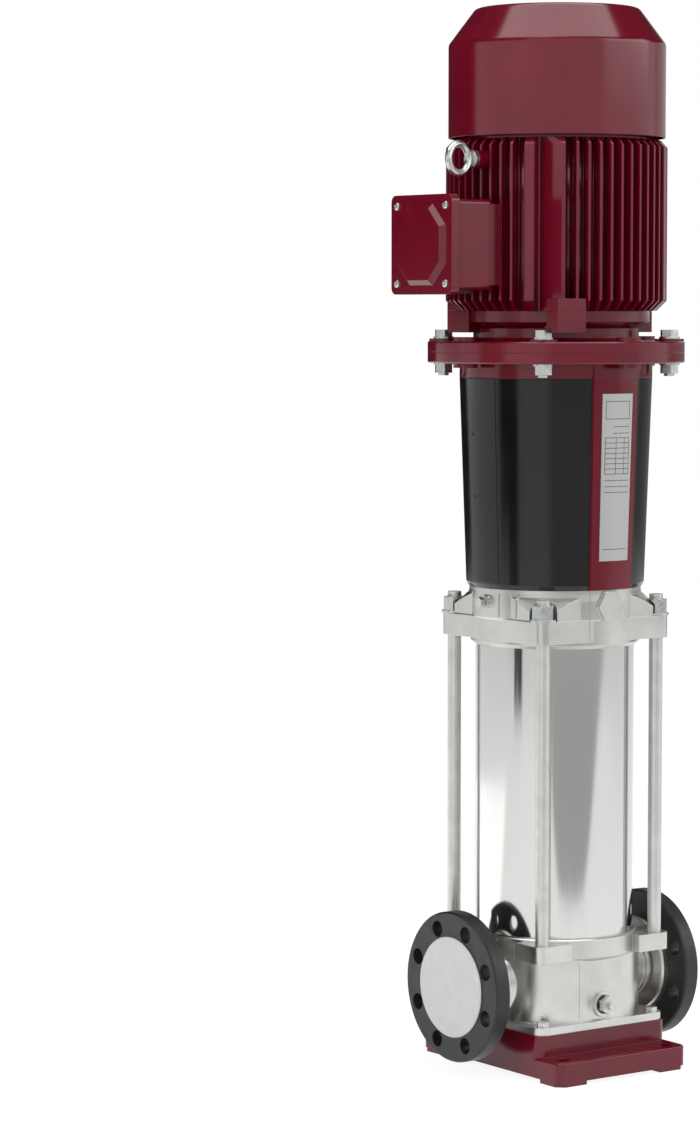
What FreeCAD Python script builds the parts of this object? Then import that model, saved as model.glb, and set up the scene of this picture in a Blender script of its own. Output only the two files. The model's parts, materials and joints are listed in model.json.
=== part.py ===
"""Vertical multistage pump with a flanged electric motor.

Frame: +Z up along the shaft, origin under the base plate on the shaft axis, suction port at -X,
discharge port at +X, nameplate and drain plug on the -Y side. Lengths in millimetres, angles in degrees.
"""
import FreeCAD, Part
import Sketcher
import math
import os
import re

# Driving dimensions. Every name is also the alias of its cell in the sheet.
SIZES = {
    # Clearances
    "fit_gap": 0.05,
    "run_gap": 0.08,
    "seat_gap": 0.3,
    # Base plate
    "base_length": 263.0,
    "base_width": 190.0,
    "base_corner": 9.0,
    "base_foot_rise": 4.4,
    "base_foot_across": 40.0,
    "base_foot_along": 36.0,
    "base_rim_rise": 23.6,
    "base_block_length": 190.0,
    "base_block_rise": 25.0,
    "base_edge_round": 3.0,
    "base_block_corner": 12.0,
    "base_hole_inset": 19.0,
    "base_hole_end_inset": 16.5,
    "base_hole_radius": 7.0,
    # Pump base casting
    "foot_margin": 1.0,
    "foot_corner": 14.0,
    "foot_rise": 9.0,
    "foot_bolt_inset": 13.0,
    "foot_bolt_end_inset": 11.0,
    "foot_bolt_radius": 4.0,
    "foot_bolt_depth": 22.0,
    "foot_bolt_head": 13.0,
    "foot_bolt_head_rise": 5.3,
    "bowl_radius": 92.0,
    "bowl_side_half": 90.5,
    "bowl_side_corner": 66.0,
    "bowl_rise": 75.0,
    "collar_radius": 99.0,
    "collar_rise": 23.0,
    "lug_half": 98.0,
    "lug_width": 48.0,
    "lug_corner": 10.0,
    "lug_rise": 20.0,
    "eye_radius": 36.0,
    "annulus_inner_radius": 52.0,
    "annulus_outer_radius": 85.0,
    "annulus_drop": 40.0,
    # Ports, loose flanges and covers
    "port_height": 103.0,
    "port_reach": 151.4,
    "port_bore": 30.0,
    "neck_radius": 36.0,
    "neck_flare": 13.5,
    "neck_bead": 3.0,
    "hub_radius": 45.0,
    "hub_length": 20.4,
    "shoulder_radius": 57.0,
    "shoulder_width": 10.0,
    "flange_radius": 87.5,
    "flange_edge": 2.0,
    "flange_bolt_radius": 70.0,
    "flange_hole_radius": 9.5,
    "flange_holes": 8,
    "ring_groove_depth": 2.0,
    "ring_radius": 50.0,
    "ring_width": 2.6,
    "ring_recess": 5.0,
    "ring_slit": 6.0,
    "cover_radius": 58.5,
    "cover_thickness": 1.8,
    "cover_spigot_length": 12.0,
    "cover_spigot_wall": 2.0,
    # Drain plug
    "drain_height": 81.0,
    "drain_boss_radius": 15.0,
    "drain_boss_reach": 96.0,
    "drain_thread_radius": 8.0,
    "drain_seal_thickness": 1.5,
    "drain_hex": 19.0,
    "drain_head_length": 8.0,
    "drain_tip_radius": 5.0,
    "drain_tip_length": 6.0,
    # Outer sleeve and staybolts
    "sleeve_radius": 93.0,
    "sleeve_wall": 2.5,
    "sleeve_socket": 10.0,
    "sleeve_length": 362.0,
    "gasket_thickness": 1.5,
    "stay_across": 84.1,
    "stay_radius": 8.0,
    "stay_sink": 18.0,
    "stay_nut": 24.0,
    "stay_nut_rise": 16.0,
    "stay_end": 6.0,
    "stay_washer_radius": 15.0,
    "stay_washer_thickness": 2.6,
    # Pump head casting
    "head_lip": 8.0,
    "head_plate_half": 97.0,
    "head_plate_corner": 12.0,
    "head_plate_rise": 26.0,
    "head_collar_radius": 99.0,
    "head_boss_radius": 101.0,
    "head_shoulder_inset": 3.0,
    "head_shoulder_reach": 131.0,
    "head_top_radius": 100.5,
    "head_cone_rise": 29.0,
    "head_ring_rise": 5.0,
    "head_wall": 9.0,
    "head_bore": 42.0,
    "vent_height": 549.0,
    "vent_reach": 106.0,
    "vent_boss_radius": 8.5,
    "vent_radius": 4.0,
    "vent_hex": 11.0,
    "vent_head_length": 7.0,
    "vent_depth": 12.0,
    "priming_radius": 11.0,
    "priming_height": 546.0,
    "priming_boss_radius": 17.5,
    "priming_length": 14.0,
    "priming_reach": 102.0,
    "priming_hex": 32.0,
    "priming_head_rise": 3.0,
    # Stages
    "stage_count": 4,
    "stage_pitch": 76.0,
    "stage_radius": 84.0,
    "stage_wall": 2.2,
    "stage_foot_gap": 0.5,
    "impeller_radius": 64.0,
    "impeller_eye": 33.0,
    "impeller_outlet": 12.0,
    "impeller_plate": 2.0,
    "impeller_neck": 10.0,
    "impeller_hub_radius": 19.0,
    "impeller_vanes": 7,
    "pump_shaft_radius": 11.0,
    "pump_shaft_bottom": 84.0,
    "pump_shaft_top": 741.0,
    # Shaft seal
    "seal_plate_radius": 54.0,
    "seal_plate_rise": 8.0,
    "seal_tube_length": 34.0,
    "seal_ring_radius": 24.0,
    "seal_ring_length": 12.0,
    "seal_screw_radius": 3.0,
    "seal_gap_below": 0.3,
    "seal_screw_circle": 46.0,
    # Motor stool
    "stool_foot_radius": 104.0,
    "stool_top_radius": 112.6,
    "stool_height": 273.0,
    "stool_foot_rise": 18.0,
    "stool_neck_rise": 17.0,
    "stool_flange_rise": 12.6,
    "stool_wall": 11.0,
    "stool_foot_bore": 58.0,
    "stool_screw_circle": 78.0,
    "stool_screw_radius": 5.0,
    "stool_screw_depth": 16.0,
    "window_half_angle": 62.0,
    "guard_half_angle": 73.3,
    "guard_thickness": 2.2,
    "guard_panel_half_angle": 13.0,
    "guard_panel_step": 0.7,
    "guard_foot_chamfer": 1.6,
    "strip_half_angle": 16.2,
    "strip_proud": 3.0,
    "plate_width_angle": 22.0,
    "plate_thickness": 1.0,
    "plate_low": 34.0,
    "plate_length": 192.0,
    # Shaft coupling
    "coupling_radius": 31.0,
    "coupling_length": 108.0,
    "coupling_low": 692.0,
    "coupling_slit": 2.0,
    "coupling_bolt_radius": 4.0,
    "coupling_bolt_offset": 23.5,
    "coupling_bolt_pitch": 66.0,
    "coupling_bolt_head": 6.5,
    # Motor
    "motor_flange_radius": 150.0,
    "motor_flange_rise": 12.6,
    "motor_spigot_radius": 100.0,
    "motor_spigot_length": 4.0,
    "motor_bolt_circle": 132.5,
    "motor_bolt_radius": 6.0,
    "motor_bolt_hole": 7.25,
    "motor_bolt_head": 19.0,
    "motor_bolt_head_rise": 8.0,
    "motor_nut_rise": 10.0,
    "motor_washer_radius": 12.0,
    "motor_washer_thickness": 2.4,
    "motor_pad_radius": 17.0,
    "motor_pad_rise": 2.6,
    "flange_boss_radius": 14.0,
    "flange_boss_rise": 5.0,
    "shield_neck_radius": 96.7,
    "shield_radius": 108.8,
    "shield_height": 35.0,
    "shield_wall": 8.0,
    "ear_width": 40.6,
    "ear_reach": 118.0,
    "ear_offset": 71.1,
    "ear_depth": 21.0,
    "ear_web": 22.0,
    "side_ear_reach": 112.0,
    "side_ear_offset": 31.0,
    "side_ear_shift": 11.0,
    "ear_drop": 25.0,
    "ear_rise": 14.0,
    "frame_radius": 108.0,
    "frame_wall": 8.0,
    "frame_length": 197.0,
    "fin_radius": 129.0,
    "fin_tip": 3.0,
    "fin_root": 4.4,
    "fin_pitch": 6.2,
    "fins_per_side": 10,
    "fin_low_chamfer": 12.0,
    "fin_low_cut_radius": 116.7,
    "fin_top_chamfer": 8.0,
    "fin_top_cut_radius": 120.8,
    "rib_land_rise": 3.0,
    "rib_land_start": 17.7,
    "rib_land_width": 11.3,
    "rib_crest": 1.8,
    "rear_shield_thickness": 9.0,
    "rear_hub_length": 20.0,
    "cover_low_gap": 3.0,
    "fan_cover_radius": 126.3,
    "fan_cover_wall": 2.0,
    "fan_cover_skirt": 107.8,
    "fan_cover_top_radius": 94.8,
    "fan_cover_cone": 42.0,
    "fan_cover_round": 9.0,
    "grille_rings": 5,
    "grille_pitch": 15.0,
    "grille_slot": 9.0,
    "grille_inner": 20.0,
    "grille_spokes": 6,
    "grille_slot_angle": 52.0,
    # Motor inside
    "shaft_end_radius": 19.0,
    "shaft_end_length": 80.0,
    "bearing_bore": 20.0,
    "bearing_outer": 45.0,
    "bearing_width": 23.0,
    "bearing_ring": 6.5,
    "shaft_body_radius": 24.0,
    "rotor_radius": 65.5,
    "air_gap": 0.5,
    "core_front_space": 36.0,
    "core_rear_space": 31.0,
    "winding_inner": 72.0,
    "winding_rise": 22.0,
    "fan_radius": 96.0,
    "fan_hub_radius": 26.0,
    "fan_width": 30.0,
    "fan_blades": 8,
    "fan_distance": 39.0,
    # Terminal box
    "box_rise": 75.0,
    "box_half_width": 53.0,
    "box_half_rise": 51.0,
    "box_seat": 139.0,
    "box_wall": 4.0,
    "box_depth": 44.6,
    "box_round": 5.0,
    "box_pad_half": 46.0,
    "lid_half_width": 57.6,
    "lid_half_rise": 56.5,
    "lid_thickness": 11.4,
    "lid_round": 8.0,
    "lid_panel_half": 46.0,
    "lid_panel_corner": 24.0,
    "lid_panel_rise": 5.5,
    "lid_screw_offset": 46.0,
    "lid_screw_radius": 2.5,
    "lid_screw_head_radius": 4.6,
    "lid_screw_head_rise": 2.6,
    "lid_gasket": 1.0,
    "entry_radius": 10.0,
    "entry_offset": 24.0,
    "entry_head_radius": 13.0,
    "entry_head_rise": 4.0,
    "block_half_width": 24.0,
    "block_half_rise": 28.0,
    "block_depth": 14.0,
    "stud_radius": 2.5,
    "stud_pitch": 16.0,
    # Eye bolts
    "eye_angle": 10.0,
    "eye_drop": 25.0,
    "eye_boss_radius": 10.5,
    "eye_boss_reach": 143.0,
    "eye_collar_radius": 10.0,
    "eye_collar_rise": 5.0,
    "eye_shank_radius": 5.0,
    "eye_shank_length": 12.0,
    "eye_ring_radius": 16.5,
    "eye_wire_radius": 4.2,
    "eye_count": 2,
}

# Places that follow from the driving dimensions
LAYOUT = {
    "base_hole_across": "base_width / 2 - base_hole_inset",
    "base_hole_along": "base_length / 2 - base_hole_end_inset",
    "foot_side": "base_width - 2 * foot_margin",
    "foot_bolt_across": "foot_side / 2 - foot_bolt_inset",
    "foot_bolt_along": "foot_side / 2 - foot_bolt_end_inset",
    "base_rim_top": "base_foot_rise + base_rim_rise",
    "base_top": "base_rim_top + base_block_rise",
    "foot_top": "base_top + foot_rise",
    "bowl_top": "foot_top + bowl_rise",
    "collar_top": "bowl_top + collar_rise",
    "lug_top": "bowl_top + lug_rise",
    "shoulder_face": "port_reach - hub_length",
    "ring_back": "port_reach - ring_recess",
    "sleeve_seat": "collar_top - sleeve_socket",
    "sleeve_low": "sleeve_seat + gasket_thickness",
    "sleeve_top": "sleeve_low + sleeve_length",
    "head_seat": "sleeve_top + gasket_thickness",
    "head_low": "head_seat - sleeve_socket - head_lip",
    "head_plate_low": "head_low + head_lip",
    "head_plate_top": "head_plate_low + head_plate_rise",
    "head_cone_top": "head_plate_top + head_cone_rise",
    "head_top": "head_cone_top + head_ring_rise",
    "stay_washer_top": "head_plate_top + stay_washer_thickness",
    "stay_nut_top": "stay_washer_top + stay_nut_rise",
    "stage_low": "collar_top + stage_foot_gap",
    "stage_rise": "stage_pitch - stage_foot_gap",
    "stool_foot_top": "head_top + stool_foot_rise",
    "stool_top": "head_top + stool_height",
    "stool_flange_low": "stool_top - stool_flange_rise",
    "stool_neck_low": "stool_flange_low - stool_neck_rise",
    "motor_flange_top": "stool_top + motor_flange_rise",
    "motor_pad_top": "motor_flange_top + motor_pad_rise",
    "frame_low": "motor_flange_top + shield_height",
    "frame_top": "frame_low + frame_length",
    "rear_shield_top": "frame_top + rear_shield_thickness",
    "rear_bearing_low": "frame_top - bearing_width / 2",
    "front_bearing_low": "frame_low - bearing_width - shield_wall",
    "shaft_end_low": "stool_top - shaft_end_length",
    "core_low": "frame_low + core_front_space",
    "core_top": "frame_top - core_rear_space",
    "fan_low": "frame_top + fan_distance",
    "shaft_top": "fan_low + fan_width",
    "box_height": "frame_low + box_rise",
    "eye_height": "frame_top - eye_drop",
    "fan_cover_low": "frame_top + cover_low_gap",
    "fan_cover_shoulder": "fan_cover_low + fan_cover_skirt",
    "fan_cover_top": "fan_cover_shoulder + fan_cover_cone",
    "stator_inner": "rotor_radius + air_gap",
    "frame_bore": "frame_radius - frame_wall",
    "rib_crest_turn": "45 - fin_pitch * (fins_per_side + 1) / 2",
    "box_face": "box_seat + box_depth",
    "lid_seat": "box_face + lid_gasket",
    "lid_face": "lid_seat + lid_thickness",
    "seal_top": "head_top + seal_plate_rise",
    "eye_ring_reach": "eye_boss_reach + eye_collar_rise + eye_ring_radius + eye_wire_radius - 1",
}

doc = FreeCAD.newDocument("VerticalPump")
sizes = doc.addObject("Spreadsheet::Sheet", "Sizes")
layout = doc.addObject("Spreadsheet::Sheet", "Layout")


def bind(text):
    """Turn the size names in a formula into references to the two sheets."""

    def reference(match):
        name = match.group(0)
        return ("Sizes." if name in SIZES else "Layout.") + name

    return re.sub(r"[a-z]+_[a-z_]+", reference, str(text))


def fill_sheet(sheet, cells):
    for row, (name, content) in enumerate(cells, start=1):
        sheet.set(f"A{row}", name)
        sheet.set(f"B{row}", content)
        sheet.setAlias(f"B{row}", name)


fill_sheet(sizes, [(name, str(number)) for name, number in SIZES.items()])
doc.recompute()
fill_sheet(layout, [(name, "=" + bind(text)) for name, text in LAYOUT.items()])
doc.recompute()


def mm(name):
    """The present value of a size or a place."""
    sheet = sizes if name in SIZES else layout
    return float(sheet.get(name))


parts = []


def new_body(label):
    body = doc.addObject("PartDesign::Body", label)
    body.Label = label
    body.AllowCompound = True
    parts.append(body)
    return body


def origin_feature(body, role):
    return next(item for item in body.Origin.OriginFeatures if item.Role == role)


def new_sketch(body, plane, start="0", lift="0", turned=None):
    """A sketch on a plane of the body's own origin.

    start moves it along its normal (+Z on XY, +X on YZ, -Y on XZ), lift moves it up,
    and turned swings a standing sketch about the vertical.
    """
    sketch = body.newObject("Sketcher::SketchObject", body.Name + "_sketch")
    sketch.AttachmentSupport = [(origin_feature(body, plane), "")]
    sketch.MapMode = "FlatFace"
    if turned is not None:
        swing = FreeCAD.Rotation(FreeCAD.Vector(0, 1, 0), 1)
        sketch.AttachmentOffset = FreeCAD.Placement(FreeCAD.Vector(0, 0, 0), swing)
        sketch.setExpression("AttachmentOffset.Rotation.Angle", bind(turned))
        sketch.setExpression("AttachmentOffset.Base.x", bind(f"({start}) * sin({turned})"))
        sketch.setExpression("AttachmentOffset.Base.z", bind(f"({start}) * cos({turned})"))
    else:
        sketch.setExpression("AttachmentOffset.Base.z", bind(start))
    sketch.setExpression("AttachmentOffset.Base.y", bind(lift))
    return sketch


def place_point(sketch, line, point, across, up, now):
    """Pin one point of a sketch at the place that two formulas give."""
    for kind, text, value in (("DistanceX", across, now.x), ("DistanceY", up, now.y)):
        number = sketch.addConstraint(Sketcher.Constraint(kind, -1, 1, line, point, value))
        sketch.setExpression(f"Constraints[{number}]", bind(text))


def draw_polygon(sketch, corners):
    """A closed outline; each corner is a pair of formulas."""
    first = sketch.GeometryCount
    count = len(corners)
    spots = [FreeCAD.Vector(index + 1, (index + 1) ** 2, 0) for index in range(count)]
    for index in range(count):
        sketch.addGeometry(Part.LineSegment(spots[index], spots[(index + 1) % count]), False)
    for index, (across, up) in enumerate(corners):
        line = first + index
        before = first + (index - 1) % count
        sketch.addConstraint(Sketcher.Constraint("Coincident", before, 2, line, 1))
        place_point(sketch, line, 1, across, up, spots[index])


def draw_circle(sketch, across, up, radius):
    centre = FreeCAD.Vector(1, 1, 0)
    circle = sketch.addGeometry(Part.Circle(centre, FreeCAD.Vector(0, 0, 1), 1), False)
    place_point(sketch, circle, 3, across, up, centre)
    number = sketch.addConstraint(Sketcher.Constraint("Radius", circle, 1))
    sketch.setExpression(f"Constraints[{number}]", bind(radius))


def draw_rectangle(sketch, left, right, low, high):
    draw_polygon(sketch, [(left, low), (right, low), (right, high), (left, high)])


def draw_hexagon(sketch, across, up, flats, turn=0):
    """A hexagon by its width across flats."""
    corners = []
    for corner in range(6):
        angle = 60 * corner + turn
        corners.append((f"({across}) + ({flats}) / sqrt(3) * cos({angle})",
                        f"({up}) + ({flats}) / sqrt(3) * sin({angle})"))
    draw_polygon(sketch, corners)


def revolve(body, sketch, angle="360", about="V_Axis", cut=False):
    """Turn a sketch about one of its axes, half the angle to each side."""
    kind = "PartDesign::Groove" if cut else "PartDesign::Revolution"
    feature = body.newObject(kind, body.Name + "_turn")
    feature.Profile = sketch
    feature.ReferenceAxis = (sketch, [about])
    feature.setExpression("Angle", bind(angle))
    feature.Midplane = True
    sketch.Visibility = False
    return feature


def extrude(body, sketch, length, cut=False):
    """Add or remove the sketch's outline over a length along the sketch's normal."""
    kind = "PartDesign::Pocket" if cut else "PartDesign::Pad"
    feature = body.newObject(kind, body.Name + "_run")
    feature.Profile = sketch
    feature.Reversed = cut
    feature.setExpression("Length", bind(length))
    return feature


def ring_of(body, features, count, angle="360"):
    """Repeat features about the vertical axis."""
    pattern = body.newObject("PartDesign::PolarPattern", body.Name + "_pattern")
    pattern.Originals = features
    pattern.Axis = (origin_feature(body, "Z_Axis"), [""])
    pattern.setExpression("Angle", bind(angle))
    pattern.setExpression("Occurrences", bind(count))
    body.Tip = pattern
    return pattern


def blend(body, feature, radius, wanted, chamfer=False):
    """Round or chamfer the edges of a feature that a test picks."""
    doc.recompute()
    names = [f"Edge{number}" for number, edge in enumerate(feature.Shape.Edges, start=1) if wanted(edge)]
    kind = "PartDesign::Chamfer" if chamfer else "PartDesign::Fillet"
    edge_feature = body.newObject(kind, body.Name + "_edges")
    edge_feature.Base = (feature, names)
    edge_feature.setExpression("Size" if chamfer else "Radius", bind(radius))
    return edge_feature


def is_upright(edge):
    box = edge.BoundBox
    return box.ZLength > 1 and box.XLength < 0.01 and box.YLength < 0.01


def is_level_at(edge, height):
    box = edge.BoundBox
    return box.ZLength < 0.01 and abs(box.ZMin - height) < 0.01


def turned_piece(label, corners):
    """A piece turned about the shaft axis from one outline of radius and height."""
    body = new_body(label)
    sketch = new_sketch(body, "XZ_Plane")
    draw_polygon(sketch, corners)
    revolve(body, sketch)
    return body


def plain_ring(inner, outer, low, high):
    return [(inner, low), (outer, low), (outer, high), (inner, high)]


def four_corners(across, along):
    return [(f"{sign_x} * ({across})", f"{sign_y} * ({along})") for sign_x in (-1, 1) for sign_y in (-1, 1)]


# Base plate

def make_base_plate():
    body = new_body("base_plate")
    block = new_sketch(body, "XY_Plane", start="base_foot_rise + base_edge_round")
    draw_rectangle(block, "-base_width / 2", "base_width / 2",
                   "-base_block_length / 2", "base_block_length / 2")
    raised = extrude(body, block, "base_rim_rise - base_edge_round + base_block_rise")
    blend(body, raised, "base_block_corner", is_upright)
    rim = new_sketch(body, "XY_Plane", start="base_foot_rise")
    draw_rectangle(rim, "-base_width / 2", "base_width / 2", "-base_length / 2", "base_length / 2")
    slab = extrude(body, rim, "base_rim_rise")
    half_length = mm("base_length") / 2
    beside_block = mm("base_block_length") / 2 + 1
    rounded = blend(body, slab, "base_corner",
                    lambda edge: is_upright(edge) and abs(edge.BoundBox.Center.y) > half_length - 0.01)
    blend(body, rounded, "base_edge_round",
          lambda edge: is_level_at(edge, mm("base_rim_top")) and abs(edge.BoundBox.Center.y) > beside_block)
    feet = new_sketch(body, "XY_Plane")
    for sign_x in (-1, 1):
        for sign_y in (-1, 1):
            draw_polygon(feet, [
                (f"{sign_x} * (base_width / 2 - base_foot_across)", f"{sign_y} * base_length / 2"),
                (f"{sign_x} * (base_width / 2 - base_corner)", f"{sign_y} * base_length / 2"),
                (f"{sign_x} * base_width / 2", f"{sign_y} * (base_length / 2 - base_corner)"),
                (f"{sign_x} * base_width / 2", f"{sign_y} * (base_length / 2 - base_foot_along)"),
                (f"{sign_x} * (base_width / 2 - base_foot_across)",
                 f"{sign_y} * (base_length / 2 - base_foot_along)"),
            ])
    extrude(body, feet, "base_foot_rise")
    holes = new_sketch(body, "XY_Plane")
    for across, along in four_corners("base_hole_across", "base_hole_along"):
        draw_circle(holes, across, along, "base_hole_radius")
    extrude(body, holes, "base_rim_top", cut=True)
    threads = new_sketch(body, "XY_Plane", start="base_top - foot_bolt_depth")
    for across, along in four_corners("foot_bolt_across", "foot_bolt_along"):
        draw_circle(threads, across, along, "foot_bolt_radius + fit_gap")
    extrude(body, threads, "foot_bolt_depth", cut=True)


# Pump base with its two ports

def port_outline(side, bore):
    """Half section of a port neck: flare, neck, bead, shoulder, hub and ring groove."""
    bead = "shoulder_face - shoulder_width - 10"
    steps = [
        ("bowl_radius - 20", bore), ("bowl_radius - 20", "neck_radius + neck_flare"),
        ("bowl_radius - 4", "neck_radius + neck_flare / 2"),
        ("bowl_radius + 2", "neck_radius + neck_flare / 5"), ("bowl_radius + 10", "neck_radius"),
        (bead, "neck_radius"), (f"{bead} + 1", "neck_radius + neck_bead"),
        (f"{bead} + 5", "neck_radius + neck_bead"), (f"{bead} + 6", "neck_radius"),
        ("shoulder_face - shoulder_width - 2", "neck_radius"),
        ("shoulder_face - shoulder_width", "shoulder_radius - 2"),
        ("shoulder_face - shoulder_width + 2", "shoulder_radius"),
        ("shoulder_face", "shoulder_radius"), ("shoulder_face", "hub_radius"),
        ("ring_back", "hub_radius"), ("ring_back", "hub_radius - ring_groove_depth"),
        ("ring_back + ring_width", "hub_radius - ring_groove_depth"),
        ("ring_back + ring_width", "hub_radius"), ("port_reach - seat_gap", "hub_radius"),
        ("port_reach - seat_gap", bore),
    ]
    return [(f"{side} * ({along})", radius) for along, radius in steps]


def corner_blocks(body, start, rise, half, width, corner):
    """A block with a rounded outer corner over each staybolt."""
    sketch = new_sketch(body, "XY_Plane", start=start)
    for sign_x in (-1, 1):
        for sign_y in (-1, 1):
            draw_polygon(sketch, [
                (f"{sign_x} * ({half} - {width})", f"{sign_y} * ({half} - {width})"),
                (f"{sign_x} * {half}", f"{sign_y} * ({half} - {width})"),
                (f"{sign_x} * {half}", f"{sign_y} * {half}"),
                (f"{sign_x} * ({half} - {width})", f"{sign_y} * {half}"),
            ])
    blocks = extrude(body, sketch, rise)
    outer = mm(half) - 0.01
    return blend(body, blocks, corner, lambda edge: is_upright(edge)
                 and min(abs(edge.BoundBox.Center.x), abs(edge.BoundBox.Center.y)) > outer)


def make_pump_base():
    body = new_body("pump_base")
    sides = new_sketch(body, "XY_Plane", start="foot_top - 2")
    draw_rectangle(sides, "-bowl_side_half", "bowl_side_half", "-bowl_side_half", "bowl_side_half")
    walls = extrude(body, sides, "bowl_rise + 4")
    blend(body, walls, "bowl_side_corner", is_upright)
    foot = new_sketch(body, "XY_Plane", start="base_top")
    draw_rectangle(foot, "-foot_side / 2", "foot_side / 2", "-foot_side / 2", "foot_side / 2")
    slab = extrude(body, foot, "foot_rise")
    foot_edge = mm("foot_side") / 2 - 0.01
    blend(body, slab, "foot_corner",
          lambda edge: is_upright(edge) and abs(edge.BoundBox.Center.x) > foot_edge)
    corner_blocks(body, "bowl_top", "lug_rise", "lug_half", "lug_width", "lug_corner")
    bowl = new_sketch(body, "XZ_Plane")
    draw_polygon(bowl, [
        ("0", "foot_top - 2"), ("bowl_radius - 3", "foot_top - 2"), ("bowl_radius", "foot_top + 2"),
        ("bowl_radius", "bowl_top - 4"), ("collar_radius", "bowl_top"),
        ("collar_radius", "collar_top - 1.5"), ("collar_radius - 1.5", "collar_top"),
        ("sleeve_radius + seat_gap", "collar_top"), ("sleeve_radius + seat_gap", "sleeve_seat"),
        ("annulus_outer_radius", "sleeve_seat"), ("annulus_outer_radius", "sleeve_seat - annulus_drop"),
        ("annulus_inner_radius", "sleeve_seat - annulus_drop"), ("annulus_inner_radius", "collar_top"),
        ("0", "collar_top"),
    ])
    revolve(body, bowl)
    for side in (-1, 1):
        neck = new_sketch(body, "XZ_Plane", lift="port_height")
        draw_polygon(neck, port_outline(side, "0"))
        revolve(body, neck, about="H_Axis")
    boss = new_sketch(body, "XZ_Plane", start="bowl_radius - 20", lift="drain_height")
    draw_circle(boss, "0", "0", "drain_boss_radius")
    extrude(body, boss, "drain_boss_reach - bowl_radius + 20")
    socket = new_sketch(body, "XZ_Plane")
    draw_polygon(socket, plain_ring("annulus_inner_radius", "sleeve_radius + seat_gap",
                                    "sleeve_seat", "collar_top + 1"))
    revolve(body, socket, cut=True)
    annulus = new_sketch(body, "XZ_Plane")
    draw_polygon(annulus, plain_ring("annulus_inner_radius", "annulus_outer_radius",
                                     "sleeve_seat - annulus_drop", "sleeve_seat + 1"))
    revolve(body, annulus, cut=True)
    eye = new_sketch(body, "XY_Plane", start="port_height - eye_radius")
    draw_circle(eye, "0", "0", "eye_radius")
    extrude(body, eye, "collar_top - port_height + eye_radius", cut=True)
    suction = new_sketch(body, "YZ_Plane", start="-port_reach", lift="port_height")
    draw_circle(suction, "0", "0", "port_bore")
    extrude(body, suction, "port_reach", cut=True)
    discharge = new_sketch(body, "YZ_Plane", start="annulus_inner_radius + 6", lift="port_height")
    draw_circle(discharge, "0", "0", "port_bore")
    extrude(body, discharge, "port_reach - annulus_inner_radius - 6", cut=True)
    drain = new_sketch(body, "XZ_Plane", start="bowl_radius - 30", lift="drain_height")
    draw_circle(drain, "0", "0", "drain_thread_radius + fit_gap")
    extrude(body, drain, "drain_boss_reach - bowl_radius + 30", cut=True)
    stays = new_sketch(body, "XY_Plane", start="lug_top - stay_sink")
    for across, along in four_corners("stay_across", "stay_across"):
        draw_circle(stays, across, along, "stay_radius + fit_gap")
    extrude(body, stays, "stay_sink", cut=True)
    bolts = new_sketch(body, "XY_Plane", start="base_top")
    for across, along in four_corners("foot_bolt_across", "foot_bolt_along"):
        draw_circle(bolts, across, along, "foot_bolt_radius + seat_gap")
    extrude(body, bolts, "foot_rise", cut=True)


def make_foot_bolts():
    body = new_body("foot_bolts")
    shanks = new_sketch(body, "XY_Plane", start="base_top - foot_bolt_depth + 1")
    heads = new_sketch(body, "XY_Plane", start="foot_top")
    for across, along in four_corners("foot_bolt_across", "foot_bolt_along"):
        draw_circle(shanks, across, along, "foot_bolt_radius")
        draw_hexagon(heads, across, along, "foot_bolt_head")
    extrude(body, shanks, "foot_bolt_depth + foot_rise - 1")
    extrude(body, heads, "foot_bolt_head_rise")


def make_drain_plug():
    body = new_body("drain_plug")
    stem = new_sketch(body, "XZ_Plane", start="bowl_radius - 28", lift="drain_height")
    draw_circle(stem, "0", "0", "drain_thread_radius")
    extrude(body, stem, "drain_boss_reach - bowl_radius + 28 + drain_seal_thickness")
    head = new_sketch(body, "XZ_Plane", start="drain_boss_reach + drain_seal_thickness",
                      lift="drain_height")
    draw_hexagon(head, "0", "0", "drain_hex", 30)
    extrude(body, head, "drain_head_length")
    tip = new_sketch(body, "XZ_Plane", lift="drain_height",
                     start="drain_boss_reach + drain_seal_thickness + drain_head_length")
    draw_circle(tip, "0", "0", "drain_tip_radius")
    extrude(body, tip, "drain_tip_length")
    seal = new_body("drain_plug_seal")
    washer = new_sketch(seal, "XZ_Plane", start="drain_boss_reach", lift="drain_height")
    draw_circle(washer, "0", "0", "drain_hex / 2 + 1.5")
    draw_circle(washer, "0", "0", "drain_thread_radius + fit_gap")
    extrude(seal, washer, "drain_seal_thickness")


# Loose port flanges, their retaining rings and the covers over the ports

def make_port_flange(label, side):
    body = new_body(label)
    section = new_sketch(body, "XZ_Plane", lift="port_height")
    steps = [
        ("shoulder_face + seat_gap", "hub_radius + run_gap"),
        ("shoulder_face + seat_gap", "flange_radius - flange_edge"),
        ("shoulder_face + seat_gap + flange_edge", "flange_radius"),
        ("port_reach - flange_edge", "flange_radius"), ("port_reach", "flange_radius - flange_edge"),
        ("port_reach", "ring_radius + 1.5"), ("ring_back - seat_gap", "ring_radius + 1.5"),
        ("ring_back - seat_gap", "hub_radius + run_gap"),
    ]
    draw_polygon(section, [(f"{side} * ({along})", radius) for along, radius in steps])
    revolve(body, section, about="H_Axis")
    start = "shoulder_face - 10" if side > 0 else "-port_reach - 10"
    holes = new_sketch(body, "YZ_Plane", start=start, lift="port_height")
    for number in range(SIZES["flange_holes"]):
        angle = f"360 / flange_holes * {number + 0.5}"
        draw_circle(holes, f"flange_bolt_radius * cos({angle})", f"flange_bolt_radius * sin({angle})",
                    "flange_hole_radius")
    extrude(body, holes, "hub_length + 20", cut=True)


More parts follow.
